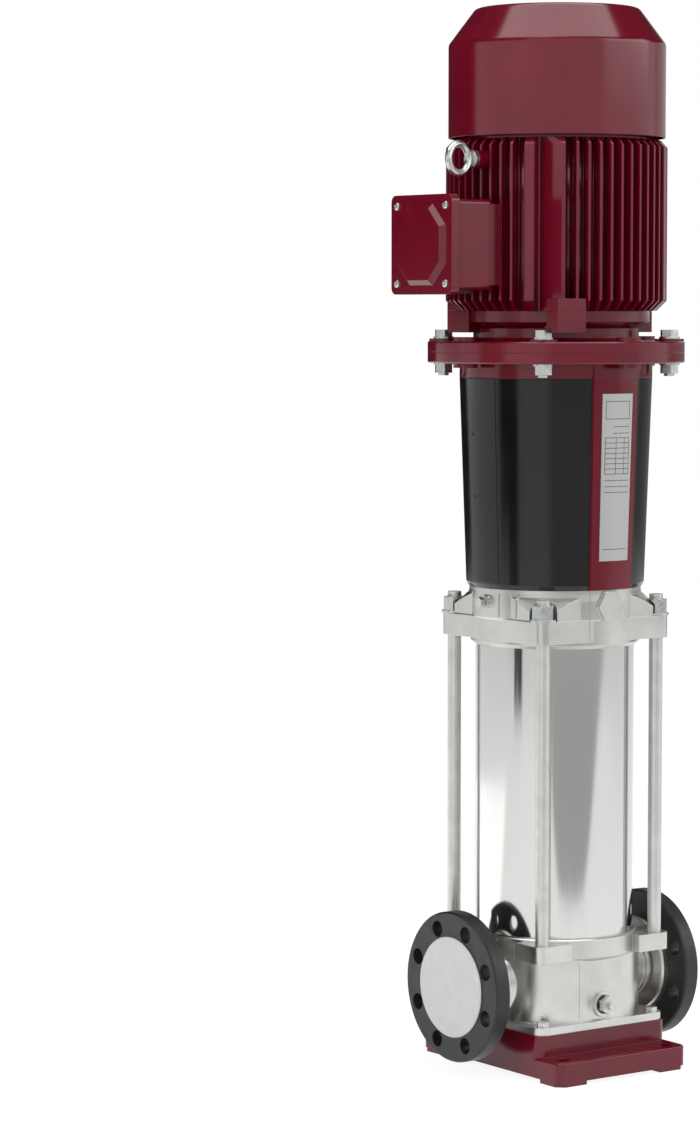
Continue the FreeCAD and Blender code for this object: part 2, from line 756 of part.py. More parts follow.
def make_retaining_rings():
    body = new_body("port_retaining_rings")
    for side in (-1, 1):
        section = new_sketch(body, "XZ_Plane", lift="port_height")
        draw_polygon(section, [
            (f"{side} * (ring_back + 0.1)", "hub_radius - ring_groove_depth + fit_gap"),
            (f"{side} * (ring_back + ring_width - 0.1)", "hub_radius - ring_groove_depth + fit_gap"),
            (f"{side} * (ring_back + ring_width - 0.1)", "ring_radius"),
            (f"{side} * (ring_back + 0.1)", "ring_radius"),
        ])
        revolve(body, section, about="H_Axis")
    slit = new_sketch(body, "YZ_Plane", start="-port_reach", lift="port_height")
    draw_rectangle(slit, "-ring_slit / 2", "ring_slit / 2", "0", "ring_radius + 5")
    extrude(body, slit, "2 * port_reach", cut=True)


def make_port_cover(label, side):
    body = new_body(label)
    section = new_sketch(body, "XZ_Plane", lift="port_height")
    outer = "port_reach + seat_gap + cover_thickness"
    steps = [
        (outer, "0"), (outer, "cover_radius - 1"), ("port_reach + seat_gap + 0.8", "cover_radius"),
        ("port_reach + seat_gap", "cover_radius"), ("port_reach + seat_gap", "port_bore - run_gap"),
        ("port_reach + seat_gap - cover_spigot_length", "port_bore - run_gap"),
        ("port_reach + seat_gap - cover_spigot_length", "port_bore - run_gap - cover_spigot_wall"),
        ("port_reach + seat_gap", "port_bore - run_gap - cover_spigot_wall"),
        ("port_reach + seat_gap", "0"),
    ]
    draw_polygon(section, [(f"{side} * ({along})", radius) for along, radius in steps])
    revolve(body, section, about="H_Axis")


# Sleeve, staybolts and pump head

def make_sleeve_and_stays():
    turned_piece("outer_sleeve", plain_ring("sleeve_radius - sleeve_wall", "sleeve_radius",
                                            "sleeve_low", "sleeve_top"))
    turned_piece("sleeve_gasket_lower", plain_ring("sleeve_radius - sleeve_wall", "sleeve_radius",
                                                   "sleeve_seat", "sleeve_low"))
    turned_piece("sleeve_gasket_upper", plain_ring("sleeve_radius - sleeve_wall", "sleeve_radius",
                                                   "sleeve_top", "head_seat"))
    rods = new_body("staybolts")
    ends = new_sketch(rods, "XY_Plane", start="lug_top - stay_sink")
    washers = new_body("staybolt_washers")
    washer_ring = new_sketch(washers, "XY_Plane", start="head_plate_top")
    nuts = new_body("staybolt_nuts")
    nut_outline = new_sketch(nuts, "XY_Plane", start="stay_washer_top")
    for across, along in four_corners("stay_across", "stay_across"):
        draw_circle(ends, across, along, "stay_radius")
        draw_circle(washer_ring, across, along, "stay_washer_radius")
        draw_circle(washer_ring, across, along, "stay_radius + seat_gap")
        draw_hexagon(nut_outline, across, along, "stay_nut", 45)
        draw_circle(nut_outline, across, along, "stay_radius + fit_gap")
    extrude(rods, ends, "stay_nut_top + stay_end - lug_top + stay_sink")
    extrude(washers, washer_ring, "stay_washer_thickness")
    extrude(nuts, nut_outline, "stay_nut_rise")


def make_pump_head():
    body = new_body("pump_head")
    shoulder = new_sketch(body, "XY_Plane", start="head_plate_low + 1")
    half = "head_plate_half - head_shoulder_inset"
    draw_rectangle(shoulder, f"-({half})", half, f"-({half})", half)
    raised = extrude(body, shoulder, "head_plate_rise + head_cone_rise - 2")
    blend(body, raised, "head_plate_corner", is_upright)
    plate = new_sketch(body, "XY_Plane", start="head_plate_low")
    draw_rectangle(plate, "-head_plate_half", "head_plate_half", "-head_plate_half", "head_plate_half")
    slab = extrude(body, plate, "head_plate_rise")
    plate_edge = mm("head_plate_half") - 0.01
    blend(body, slab, "head_plate_corner", lambda edge: is_upright(edge)
          and min(abs(edge.BoundBox.Center.x), abs(edge.BoundBox.Center.y)) > plate_edge)
    slope = new_sketch(body, "XZ_Plane")
    draw_polygon(slope, [
        ("head_shoulder_reach", "head_plate_top"), ("head_shoulder_reach + 20", "head_plate_top"),
        ("head_shoulder_reach + 20", "head_top"), ("head_boss_radius", "head_top"),
        ("head_boss_radius", "head_cone_top - 3"),
    ])
    revolve(body, slope, cut=True)
    dome = new_sketch(body, "XZ_Plane")
    draw_polygon(dome, [
        ("0", "head_low"), ("head_collar_radius - 4", "head_low"), ("head_collar_radius", "head_low + 4"),
        ("head_collar_radius", "head_plate_low + 4"), ("head_boss_radius - 2", "head_plate_low + 8"),
        ("head_boss_radius - 2", "head_plate_top - 2"), ("head_boss_radius", "head_plate_top"),
        ("head_boss_radius", "head_cone_top - 8"), ("head_top_radius", "head_cone_top"),
        ("head_top_radius", "head_top"), ("0", "head_top"),
    ])
    revolve(body, dome)
    vent = new_sketch(body, "YZ_Plane", start="-vent_reach", lift="vent_height")
    draw_circle(vent, "0", "0", "vent_boss_radius")
    extrude(body, vent, "vent_reach - head_top_radius + 15")
    filler = new_sketch(body, "XZ_Plane", start="head_top_radius - 20", lift="priming_height")
    draw_hexagon(filler, "0", "0", "2 * priming_boss_radius")
    extrude(body, filler, "priming_reach - head_top_radius + 20")
    hollow = new_sketch(body, "XZ_Plane")
    draw_polygon(hollow, [
        ("0", "head_low - 1"), ("sleeve_radius + seat_gap", "head_low - 1"),
        ("sleeve_radius + seat_gap", "head_seat"), ("annulus_outer_radius", "head_seat"),
        ("annulus_outer_radius", "head_seat + 6"), ("annulus_inner_radius", "head_cone_top - head_wall"),
        ("head_bore", "head_cone_top - head_wall"), ("head_bore", "head_top + 1"), ("0", "head_top + 1"),
    ])
    revolve(body, hollow, cut=True)
    stays = new_sketch(body, "XY_Plane", start="head_plate_low - 1")
    for across, along in four_corners("stay_across", "stay_across"):
        draw_circle(stays, across, along, "stay_radius + seat_gap")
    extrude(body, stays, "head_plate_rise + 2", cut=True)
    seats = new_sketch(body, "XY_Plane", start="head_plate_top")
    for across, along in four_corners("stay_across", "stay_across"):
        draw_circle(seats, across, along, "stay_washer_radius + 1")
    extrude(body, seats, "head_cone_rise", cut=True)
    vent_hole = new_sketch(body, "YZ_Plane", start="-vent_reach", lift="vent_height")
    draw_circle(vent_hole, "0", "0", "vent_radius + run_gap")
    extrude(body, vent_hole, "vent_depth", cut=True)
    plug_hole = new_sketch(body, "XZ_Plane", start="priming_reach - priming_length", lift="priming_height")
    draw_circle(plug_hole, "0", "0", "priming_radius + fit_gap")
    extrude(body, plug_hole, "priming_length", cut=True)
    screws = new_sketch(body, "XY_Plane", start="head_top - stool_screw_depth")
    draw_circle(screws, "stool_screw_circle", "0", "stool_screw_radius + fit_gap")
    ring_of(body, [extrude(body, screws, "stool_screw_depth", cut=True)], "4")


def make_head_plugs():
    vent = new_body("vent_screw")
    stem = new_sketch(vent, "YZ_Plane", start="-vent_reach - seat_gap", lift="vent_height")
    draw_circle(stem, "0", "0", "vent_radius")
    extrude(vent, stem, "vent_depth")
    head = new_sketch(vent, "YZ_Plane", start="-vent_reach - seat_gap - vent_head_length",
                      lift="vent_height")
    draw_hexagon(head, "0", "0", "vent_hex", 30)
    extrude(vent, head, "vent_head_length")
    plug = new_body("priming_plug")
    outline = new_sketch(plug, "XZ_Plane", start="priming_reach - priming_length", lift="priming_height")
    draw_circle(outline, "0", "0", "priming_radius")
    extrude(plug, outline, "priming_length")
    cap = new_sketch(plug, "XZ_Plane", start="priming_reach", lift="priming_height")
    draw_hexagon(cap, "0", "0", "priming_hex")
    extrude(plug, cap, "priming_head_rise")


# Stages inside the sleeve

def make_stage(number):
    """One chamber with the impeller that turns in it."""
    low = f"stage_low + {number - 1} * stage_pitch"
    turned_piece(f"chamber_{number}", [
        ("impeller_eye + impeller_plate + 1", low), ("stage_radius", low),
        ("stage_radius", f"{low} + stage_rise"), ("stage_radius - stage_wall", f"{low} + stage_rise"),
        ("stage_radius - stage_wall", f"{low} + stage_wall"),
        ("impeller_eye + impeller_plate + 1", f"{low} + stage_wall"),
    ])
    impeller = new_body(f"impeller_{number}")
    front = f"{low} + impeller_neck + stage_wall"
    back = f"{front} + impeller_plate + impeller_outlet"
    section = new_sketch(impeller, "XZ_Plane")
    draw_polygon(section, plain_ring("impeller_eye", "impeller_eye + impeller_plate",
                                     f"{low} + stage_wall / 2", f"{front} + impeller_plate"))
    revolve(impeller, section)
    plates = new_sketch(impeller, "XZ_Plane")
    draw_polygon(plates, plain_ring("impeller_eye", "impeller_radius", front, f"{front} + impeller_plate"))
    revolve(impeller, plates)
    hub = new_sketch(impeller, "XZ_Plane")
    draw_polygon(hub, [
        ("pump_shaft_radius + fit_gap", front), ("impeller_hub_radius", front),
        ("impeller_hub_radius + 4", back), ("impeller_radius", back),
        ("impeller_radius", f"{back} + impeller_plate"), ("impeller_hub_radius", f"{back} + impeller_plate"),
        ("impeller_hub_radius", f"{low} + stage_pitch - 1"),
        ("pump_shaft_radius + fit_gap", f"{low} + stage_pitch - 1"),
    ])
    revolve(impeller, hub)
    vane = new_sketch(impeller, "XY_Plane", start=front)
    bends = [("impeller_hub_radius + 1", 0), ("impeller_eye + 6", 24), ("impeller_radius", 62)]
    outer_side = [(radius, angle) for radius, angle in bends]
    inner_side = [(radius, angle + 5) for radius, angle in reversed(bends)]
    draw_polygon(vane, [(f"({radius}) * cos({angle})", f"({radius}) * sin({angle})")
                        for radius, angle in outer_side + inner_side])
    blade = extrude(impeller, vane, "impeller_plate + impeller_outlet + 0.5")
    ring_of(impeller, [blade], "impeller_vanes")


def make_pump_shaft():
    turned_piece("pump_shaft", [
        ("0", "pump_shaft_bottom"), ("pump_shaft_radius - 2", "pump_shaft_bottom"),
        ("pump_shaft_radius", "pump_shaft_bottom + 2"), ("pump_shaft_radius", "pump_shaft_top - 1"),
        ("pump_shaft_radius - 1", "pump_shaft_top"), ("0", "pump_shaft_top"),
    ])


def make_shaft_seal():
    tube = "head_bore - fit_gap"
    plate = turned_piece("seal_carrier", [
        ("seal_ring_radius + 1", "head_top - seal_tube_length"), (tube, "head_top - seal_tube_length"),
        (tube, "head_top"), ("seal_plate_radius", "head_top"), ("seal_plate_radius", "seal_top"),
        ("pump_shaft_radius + 2", "seal_top"), ("pump_shaft_radius + 2", "head_top"),
        ("seal_ring_radius + 1", "head_top"),
    ])
    holes = new_sketch(plate, "XY_Plane", start="head_top")
    draw_circle(holes, "seal_screw_circle", "0", "seal_screw_radius + fit_gap")
    ring_of(plate, [extrude(plate, holes, "seal_plate_rise", cut=True)], "4")
    turned_piece("seal_stationary_ring", plain_ring(
        "pump_shaft_radius + 3", "seal_ring_radius + 0.9", "head_top - seal_ring_length", "head_top"))
    turned_piece("seal_rotating_ring", plain_ring(
        "pump_shaft_radius + fit_gap", "seal_ring_radius - 1",
        "head_top - 2 * seal_ring_length - seal_gap_below", "head_top - seal_ring_length - seal_gap_below"))
    screws = new_body("seal_screws")
    heads = new_sketch(screws, "XY_Plane", start="seal_top")
    draw_circle(heads, "seal_screw_circle", "0", "seal_screw_radius + 2")
    shanks = new_sketch(screws, "XY_Plane", start="head_top + seat_gap")
    draw_circle(shanks, "seal_screw_circle", "0", "seal_screw_radius")
    head = extrude(screws, heads, "2 * seal_screw_radius")
    shank = extrude(screws, shanks, "seal_plate_rise - seat_gap + 1")
    ring_of(screws, [head, shank], "4")


# Motor stool, guards and nameplate

def stool_radius(height, proud="0"):
    """Radius of the stool's slightly tapered outside at a height."""
    taper = "(stool_top_radius - stool_foot_radius) / (stool_neck_low - head_top)"
    return f"stool_foot_radius + ({height} - head_top) * {taper} + ({proud})"


def make_stool():
    body = new_body("motor_stool")
    section = new_sketch(body, "XZ_Plane")
    draw_polygon(section, [
        ("stool_foot_bore", "head_top"), ("stool_foot_radius - 1", "head_top"),
        ("stool_foot_radius", "head_top + 1"), ("stool_top_radius", "stool_neck_low"),
        ("stool_top_radius", "stool_flange_low"),
        ("motor_flange_radius - 1.5", "stool_flange_low"), ("motor_flange_radius", "stool_flange_low + 1.5"),
        ("motor_flange_radius", "stool_top - 0.4"), ("motor_flange_radius - 0.4", "stool_top"),
        ("motor_spigot_radius + seat_gap", "stool_top"),
        ("motor_spigot_radius + seat_gap", "stool_top - motor_spigot_length - seat_gap"),
        ("stool_top_radius - stool_wall - 3", "stool_top - motor_spigot_length - seat_gap"),
        ("stool_foot_radius - stool_wall", "stool_foot_top + 4"),
        ("stool_foot_radius - stool_wall - 4", "stool_foot_top"), ("stool_foot_bore", "stool_foot_top"),
    ])
    revolve(body, section)
    for side in (-1, 1):
        seat = new_sketch(body, "XZ_Plane")
        sink = "-guard_thickness - seat_gap"
        draw_polygon(seat, [
            (f"{side} * ({stool_radius('head_top', sink)})", "head_top - 1"),
            (f"{side} * ({stool_radius('head_top', '8')})", "head_top - 1"),
            (f"{side} * ({stool_radius('stool_neck_low', '8')})", "stool_neck_low"),
            (f"{side} * ({stool_radius('stool_neck_low', sink)})", "stool_neck_low"),
        ])
        revolve(body, seat, "2 * guard_half_angle", cut=True)
        window = new_sketch(body, "XZ_Plane")
        draw_polygon(window, [
            (f"{side} * stool_foot_bore", "stool_foot_top"),
            (f"{side} * (stool_top_radius + 10)", "stool_foot_top"),
            (f"{side} * (stool_top_radius + 10)", "stool_neck_low - 12"),
            (f"{side} * stool_foot_bore", "stool_neck_low - 12"),
        ])
        revolve(body, window, "2 * window_half_angle", cut=True)
    for side in (-1, 1):
        strip = new_sketch(body, "YZ_Plane")
        draw_polygon(strip, [
            (f"{side} * ({stool_radius('head_top', '-3')})", "head_top + 1"),
            (f"{side} * ({stool_radius('head_top', 'strip_proud')})", "head_top + 1"),
            (f"{side} * ({stool_radius('stool_neck_low', 'strip_proud')})", "stool_neck_low"),
            (f"{side} * (stool_top_radius + strip_proud)", "stool_flange_low"),
            (f"{side} * (stool_top_radius - 3)", "stool_flange_low"),
        ])
        revolve(body, strip, "2 * strip_half_angle")
    bosses = new_sketch(body, "XY_Plane", start="stool_flange_low - flange_boss_rise")
    draw_circle(bosses, "motor_bolt_circle", "0", "flange_boss_radius")
    ring_of(body, [extrude(body, bosses, "flange_boss_rise + 1")], "4")
    screws = new_sketch(body, "XY_Plane", start="head_top")
    draw_circle(screws, "stool_screw_circle", "0", "stool_screw_radius + seat_gap")
    ring_of(body, [extrude(body, screws, "stool_foot_rise", cut=True)], "4")
    bolts = new_sketch(body, "XY_Plane", start="stool_flange_low - 5")
    draw_circle(bolts, "motor_bolt_circle * cos(45)", "motor_bolt_circle * sin(45)", "motor_bolt_hole")
    ring_of(body, [extrude(body, bolts, "stool_flange_rise + 10", cut=True)], "4")


def make_stool_screws():
    body = new_body("stool_screws")
    shank = new_sketch(body, "XY_Plane", start="head_top - stool_screw_depth + 1")
    draw_circle(shank, "stool_screw_circle", "0", "stool_screw_radius")
    rod = extrude(body, shank, "stool_screw_depth + stool_foot_rise - 1")
    head = new_sketch(body, "XY_Plane", start="stool_foot_top")
    draw_circle(head, "stool_screw_circle", "0", "stool_screw_radius + 3")
    draw_hexagon(head, "stool_screw_circle", "0", "8")
    cap = extrude(body, head, "2 * stool_screw_radius")
    floor = new_sketch(body, "XY_Plane", start="stool_foot_top")
    draw_circle(floor, "stool_screw_circle", "0", "stool_screw_radius + 2")
    web = extrude(body, floor, "stool_screw_radius")
    ring_of(body, [rod, cap, web], "4")


def make_guard(label, side):
    """A curved sheet guard with a flat-looking raised panel down its middle."""
    body = new_body(label)
    inner = "-guard_thickness"
    low = "head_top + 0.6"
    high = "stool_neck_low - seat_gap"
    foot = f"{low} + 4 * guard_foot_chamfer"
    sheet_section = new_sketch(body, "XZ_Plane")
    draw_polygon(sheet_section, [
        (f"{side} * ({stool_radius(low, inner)})", low),
        (f"{side} * ({stool_radius(low, '-guard_foot_chamfer')})", low),
        (f"{side} * ({stool_radius(f'{low} + 3 * guard_foot_chamfer')})", f"{low} + 3 * guard_foot_chamfer"),
        (f"{side} * ({stool_radius(high)})", high), (f"{side} * ({stool_radius(high, inner)})", high),
    ])
    revolve(body, sheet_section, "2 * guard_half_angle - 0.4")
    panel = new_sketch(body, "XZ_Plane")
    draw_polygon(panel, [
        (f"{side} * ({stool_radius(foot, '-1')})", foot),
        (f"{side} * ({stool_radius(foot, 'guard_panel_step')})", foot),
        (f"{side} * ({stool_radius(high, 'guard_panel_step')})", high),
        (f"{side} * ({stool_radius(high, '-1')})", high),
    ])
    revolve(body, panel, "2 * guard_panel_half_angle")


def make_nameplate():
    body = new_body("nameplate")
    section = new_sketch(body, "YZ_Plane")
    low = "head_top + plate_low"
    high = "head_top + plate_low + plate_length"
    front = "strip_proud + plate_thickness"
    draw_polygon(section, [
        (f"-({stool_radius(low, 'strip_proud')})", low), (f"-({stool_radius(low, front)})", low),
        (f"-({stool_radius(high, front)})", high), (f"-({stool_radius(high, 'strip_proud')})", high),
    ])
    revolve(body, section, "plate_width_angle")


# Coupling between the two shafts

def make_coupling():
    body = new_body("coupling_halves")
    section = new_sketch(body, "XZ_Plane")
    high = "coupling_low + coupling_length"
    draw_polygon(section, [
        ("pump_shaft_radius + fit_gap", "coupling_low"), ("coupling_radius - 2", "coupling_low"),
        ("coupling_radius", "coupling_low + 2"), ("coupling_radius", f"{high} - 2"),
        ("coupling_radius - 2", high), ("shaft_end_radius + fit_gap", high),
        ("shaft_end_radius + fit_gap", "shaft_end_low - 8"),
        ("pump_shaft_radius + fit_gap", "shaft_end_low - 8"),
    ])
    revolve(body, section)
    slit = new_sketch(body, "YZ_Plane", start="-coupling_slit / 2")
    draw_rectangle(slit, "-coupling_radius - 1", "coupling_radius + 1", "coupling_low - 1", f"{high} + 1")
    extrude(body, slit, "coupling_slit", cut=True)
    bolts = new_body("coupling_bolts")
    middle = "coupling_low + coupling_length / 2"
    shanks = new_sketch(bolts, "YZ_Plane", start="-coupling_radius * 0.55")
    heads = new_sketch(bolts, "YZ_Plane", start="coupling_radius * 0.55")
    holes = new_sketch(body, "YZ_Plane", start="-coupling_radius")
    spots = [(f"{sign} * coupling_bolt_offset", f"{middle} + {step} * coupling_bolt_pitch / 2")
             for sign in (-1, 1) for step in (-1, 1)]
    for across, up in spots:
        draw_circle(shanks, across, up, "coupling_bolt_radius")
        draw_circle(heads, across, up, "coupling_bolt_head")
        draw_circle(holes, across, up, "coupling_bolt_radius + fit_gap")
    extrude(bolts, shanks, "coupling_radius * 1.1")
    extrude(bolts, heads, "2 * coupling_bolt_radius")
    extrude(body, holes, "2 * coupling_radius", cut=True)
    pockets = new_sketch(body, "YZ_Plane", start="coupling_radius * 0.55")
    for across, up in spots:
        draw_circle(pockets, across, up, "coupling_bolt_head + seat_gap")
    extrude(body, pockets, "coupling_radius", cut=True)


# Motor end shield, frame, rear shield and fan cover

def ear_outline(sketch):
    """The ears that clamp the end shield to the frame, one on each side."""
    for side in (-1, 1):
        inner = f"{side} * (ear_offset - ear_width / 2)"
        web = f"{side} * (ear_offset - ear_width / 2 + ear_web)"
        outer = f"{side} * (ear_offset + ear_width / 2)"
        draw_polygon(sketch, [
            (inner, f"{side} * frame_radius * 0.65"), (web, f"{side} * frame_radius * 0.65"),
            (web, f"{side} * (ear_reach - ear_depth)"), (outer, f"{side} * (ear_reach - ear_depth)"),
            (outer, f"{side} * ear_reach"), (inner, f"{side} * ear_reach"),
        ])
        middle = f"side_ear_shift - {side} * side_ear_offset"
        draw_rectangle(sketch, f"{side} * frame_radius * 0.8", f"{side} * side_ear_reach",
                       f"{middle} - ear_width / 2", f"{middle} + ear_width / 2")


def make_front_shield():
    body = new_body("motor_front_shield")
    section = new_sketch(body, "XZ_Plane")
    draw_polygon(section, [
        ("bearing_bore + 2", "stool_top - motor_spigot_length"),
        ("motor_spigot_radius", "stool_top - motor_spigot_length"), ("motor_spigot_radius", "stool_top"),
        ("motor_flange_radius", "stool_top"), ("motor_flange_radius", "motor_flange_top - 1.5"),
        ("motor_flange_radius - 1.5", "motor_flange_top"),
        ("shield_neck_radius + 4", "motor_flange_top"), ("shield_neck_radius", "motor_flange_top + 4"),
        ("shield_neck_radius", "frame_low - 20"), ("shield_radius", "frame_low - 13"),
        ("shield_radius", "frame_low"), ("shield_radius - shield_wall", "frame_low"),
        ("shield_neck_radius - shield_wall", "motor_flange_top + shield_wall"),
        ("bearing_outer + shield_wall", "motor_flange_top"),
        ("bearing_outer + shield_wall", "front_bearing_low + bearing_width"),
        ("bearing_outer + fit_gap", "front_bearing_low + bearing_width"),
        ("bearing_outer + fit_gap", "front_bearing_low"), ("bearing_bore + 2", "front_bearing_low"),
    ])
    revolve(body, section)
    ears = new_sketch(body, "XY_Plane", start="frame_low - ear_drop")
    ear_outline(ears)
    extrude(body, ears, "ear_drop")
    pads = new_sketch(body, "XY_Plane", start="motor_flange_top")
    holes = new_sketch(body, "XY_Plane", start="stool_top")
    for diagonal in (45, 135, 225, 315):
        across = f"motor_bolt_circle * cos({diagonal})"
        along = f"motor_bolt_circle * sin({diagonal})"
        draw_circle(pads, across, along, "motor_pad_radius")
        draw_circle(holes, across, along, "motor_bolt_hole")
    extrude(body, pads, "motor_pad_rise")
    extrude(body, holes, "motor_flange_rise + motor_pad_rise", cut=True)
    spanner_room = new_sketch(body, "XY_Plane", start="motor_pad_top")
    for across, along in four_corners("motor_bolt_circle * cos(45)", "motor_bolt_circle * sin(45)"):
        draw_circle(spanner_room, across, along, "motor_washer_radius + 1")
    extrude(body, spanner_room, "motor_washer_thickness + motor_bolt_head_rise + 2", cut=True)
    bosses = new_sketch(body, "XY_Plane", start="motor_flange_top - 1")
    draw_circle(bosses, "motor_bolt_circle", "0", "flange_boss_radius")
    ring_of(body, [extrude(body, bosses, "flange_boss_rise + 1")], "4")


def make_flange_bolts():
    bolts = new_body("motor_flange_bolts")
    washers = new_body("motor_flange_washers")
    nuts = new_body("motor_flange_nuts")
    under = "stool_flange_low - motor_washer_thickness"
    over = "motor_pad_top + motor_washer_thickness"
    heads = new_sketch(bolts, "XY_Plane", start=over)
    shanks = new_sketch(bolts, "XY_Plane", start=f"{under} - motor_nut_rise - 3")
    high_washers = new_sketch(washers, "XY_Plane", start="motor_pad_top")
    low_washers = new_sketch(washers, "XY_Plane", start=under)
    nut_outline = new_sketch(nuts, "XY_Plane", start=f"{under} - motor_nut_rise")
    for diagonal in (45, 135, 225, 315):
        across = f"motor_bolt_circle * cos({diagonal})"
        along = f"motor_bolt_circle * sin({diagonal})"
        draw_hexagon(heads, across, along, "motor_bolt_head")
        draw_circle(shanks, across, along, "motor_bolt_radius")
        draw_hexagon(nut_outline, across, along, "motor_bolt_head")
        draw_circle(nut_outline, across, along, "motor_bolt_radius + fit_gap")
        for sketch in (high_washers, low_washers):
            draw_circle(sketch, across, along, "motor_washer_radius")
            draw_circle(sketch, across, along, "motor_bolt_radius + seat_gap")
    extrude(bolts, heads, "motor_bolt_head_rise")
    extrude(bolts, shanks, f"{over} - ({under}) + motor_nut_rise + 3.5")
    extrude(washers, high_washers, "motor_washer_thickness")
    extrude(washers, low_washers, "motor_washer_thickness")
    extrude(nuts, nut_outline, "motor_nut_rise")


def make_motor_frame():
    """Cast frame: a barrel with four sets of fins, four slanted ribs, ears, a box pad and eye bosses."""
    body = new_body("motor_frame")
    barrel = new_sketch(body, "XZ_Plane")
    draw_polygon(barrel, plain_ring("frame_bore", "frame_radius", "frame_low", "frame_top"))
    revolve(body, barrel)
    fins = new_sketch(body, "XY_Plane", start="frame_low")
    count = SIZES["fins_per_side"]
    for number in range(count):
        angle = f"fin_pitch * {number - (count - 1) / 2}"
        corners = []
        for radius, half in (("frame_radius - 1", "-fin_root / 2"), ("fin_radius", "-fin_tip / 2"),
                             ("fin_radius", "fin_tip / 2"), ("frame_radius - 1", "fin_root / 2")):
            corners.append((f"({radius}) * cos({angle}) - ({half}) * sin({angle})",
                            f"({radius}) * sin({angle}) + ({half}) * cos({angle})"))
        draw_polygon(fins, corners)
    ribs = new_sketch(body, "XY_Plane", start="frame_low")
    corners = []
    for radius, half in (("frame_radius - 6", "-rib_land_start"),
                         ("frame_radius + rib_land_rise", "-rib_land_start"),
                         ("frame_radius + rib_land_rise", "-rib_land_start + rib_land_width")):
        corners.append((f"({radius}) * cos(45) - ({half}) * sin(45)",
                        f"({radius}) * sin(45) + ({half}) * cos(45)"))
    for radius, turn in (("fin_radius", "rib_crest_turn - rib_crest"), ("fin_radius", "rib_crest_turn"),
                         ("(frame_radius - 6)", "rib_crest_turn")):
        corners.append((f"{radius} * cos(45 + {turn})", f"{radius} * sin(45 + {turn})"))
    draw_polygon(ribs, corners)
    fin_pad = extrude(body, fins, "frame_length")
    rib_pad = extrude(body, ribs, "frame_length")
    ring_of(body, [fin_pad, rib_pad], "4")
    ends = new_sketch(body, "XZ_Plane")
    outside = "fin_radius + 20"
    draw_polygon(ends, [("fin_low_cut_radius", "frame_low - 1"), (outside, "frame_low - 1"),
                        (outside, "frame_low + fin_low_chamfer"),
                        ("fin_radius", "frame_low + fin_low_chamfer"),
                        ("fin_low_cut_radius", "frame_low")])
    draw_polygon(ends, [("fin_top_cut_radius", "frame_top"), ("fin_radius", "frame_top - fin_top_chamfer"),
                        (outside, "frame_top - fin_top_chamfer"), (outside, "frame_top + 1"),
                        ("fin_top_cut_radius", "frame_top + 1")])
    revolve(body, ends, cut=True)
    ears = new_sketch(body, "XY_Plane", start="frame_low")
    ear_outline(ears)
    extrude(body, ears, "ear_rise")
    box_pad = new_sketch(body, "YZ_Plane", start="-box_seat", lift="box_height")
    draw_rectangle(box_pad, "-box_pad_half", "box_pad_half", "-box_pad_half", "box_pad_half")
    extrude(body, box_pad, "box_seat - frame_radius * 0.85")
    boss = new_sketch(body, "YZ_Plane", start="frame_radius * 0.97", lift="eye_height", turned="eye_angle")
    draw_circle(boss, "0", "0", "eye_boss_radius")
    boss_pad = extrude(body, boss, "eye_boss_reach - frame_radius * 0.97")
    ring_of(body, [boss_pad], "eye_count")
    tapped = new_sketch(body, "YZ_Plane", start="eye_boss_reach - eye_shank_length - 1", lift="eye_height",
                        turned="eye_angle")
    draw_circle(tapped, "0", "0", "eye_shank_radius + fit_gap")
    ring_of(body, [extrude(body, tapped, "eye_shank_length + 1", cut=True)], "eye_count")
    bore = new_sketch(body, "XY_Plane", start="frame_low")
    draw_circle(bore, "0", "0", "frame_bore")
    extrude(body, bore, "frame_length", cut=True)


def make_rear_shield():
    turned_piece("motor_rear_shield", [
        ("bearing_outer + fit_gap", "rear_bearing_low"), ("bearing_outer + shield_wall", "rear_bearing_low"),
        ("bearing_outer + shield_wall", "frame_top - 1"), ("frame_bore - seat_gap", "frame_top - 1"),
        ("frame_bore - seat_gap", "frame_top"), ("frame_radius", "frame_top"),
        ("frame_radius", "rear_shield_top - 2"), ("frame_radius - 2", "rear_shield_top"),
        ("bearing_outer + shield_wall", "rear_shield_top"),
        ("bearing_outer", "frame_top + rear_hub_length"),
        ("bearing_bore + 4", "frame_top + rear_hub_length"),
        ("bearing_bore + 4", "rear_bearing_low + bearing_width"),
        ("bearing_outer + fit_gap", "rear_bearing_low + bearing_width"),
    ])


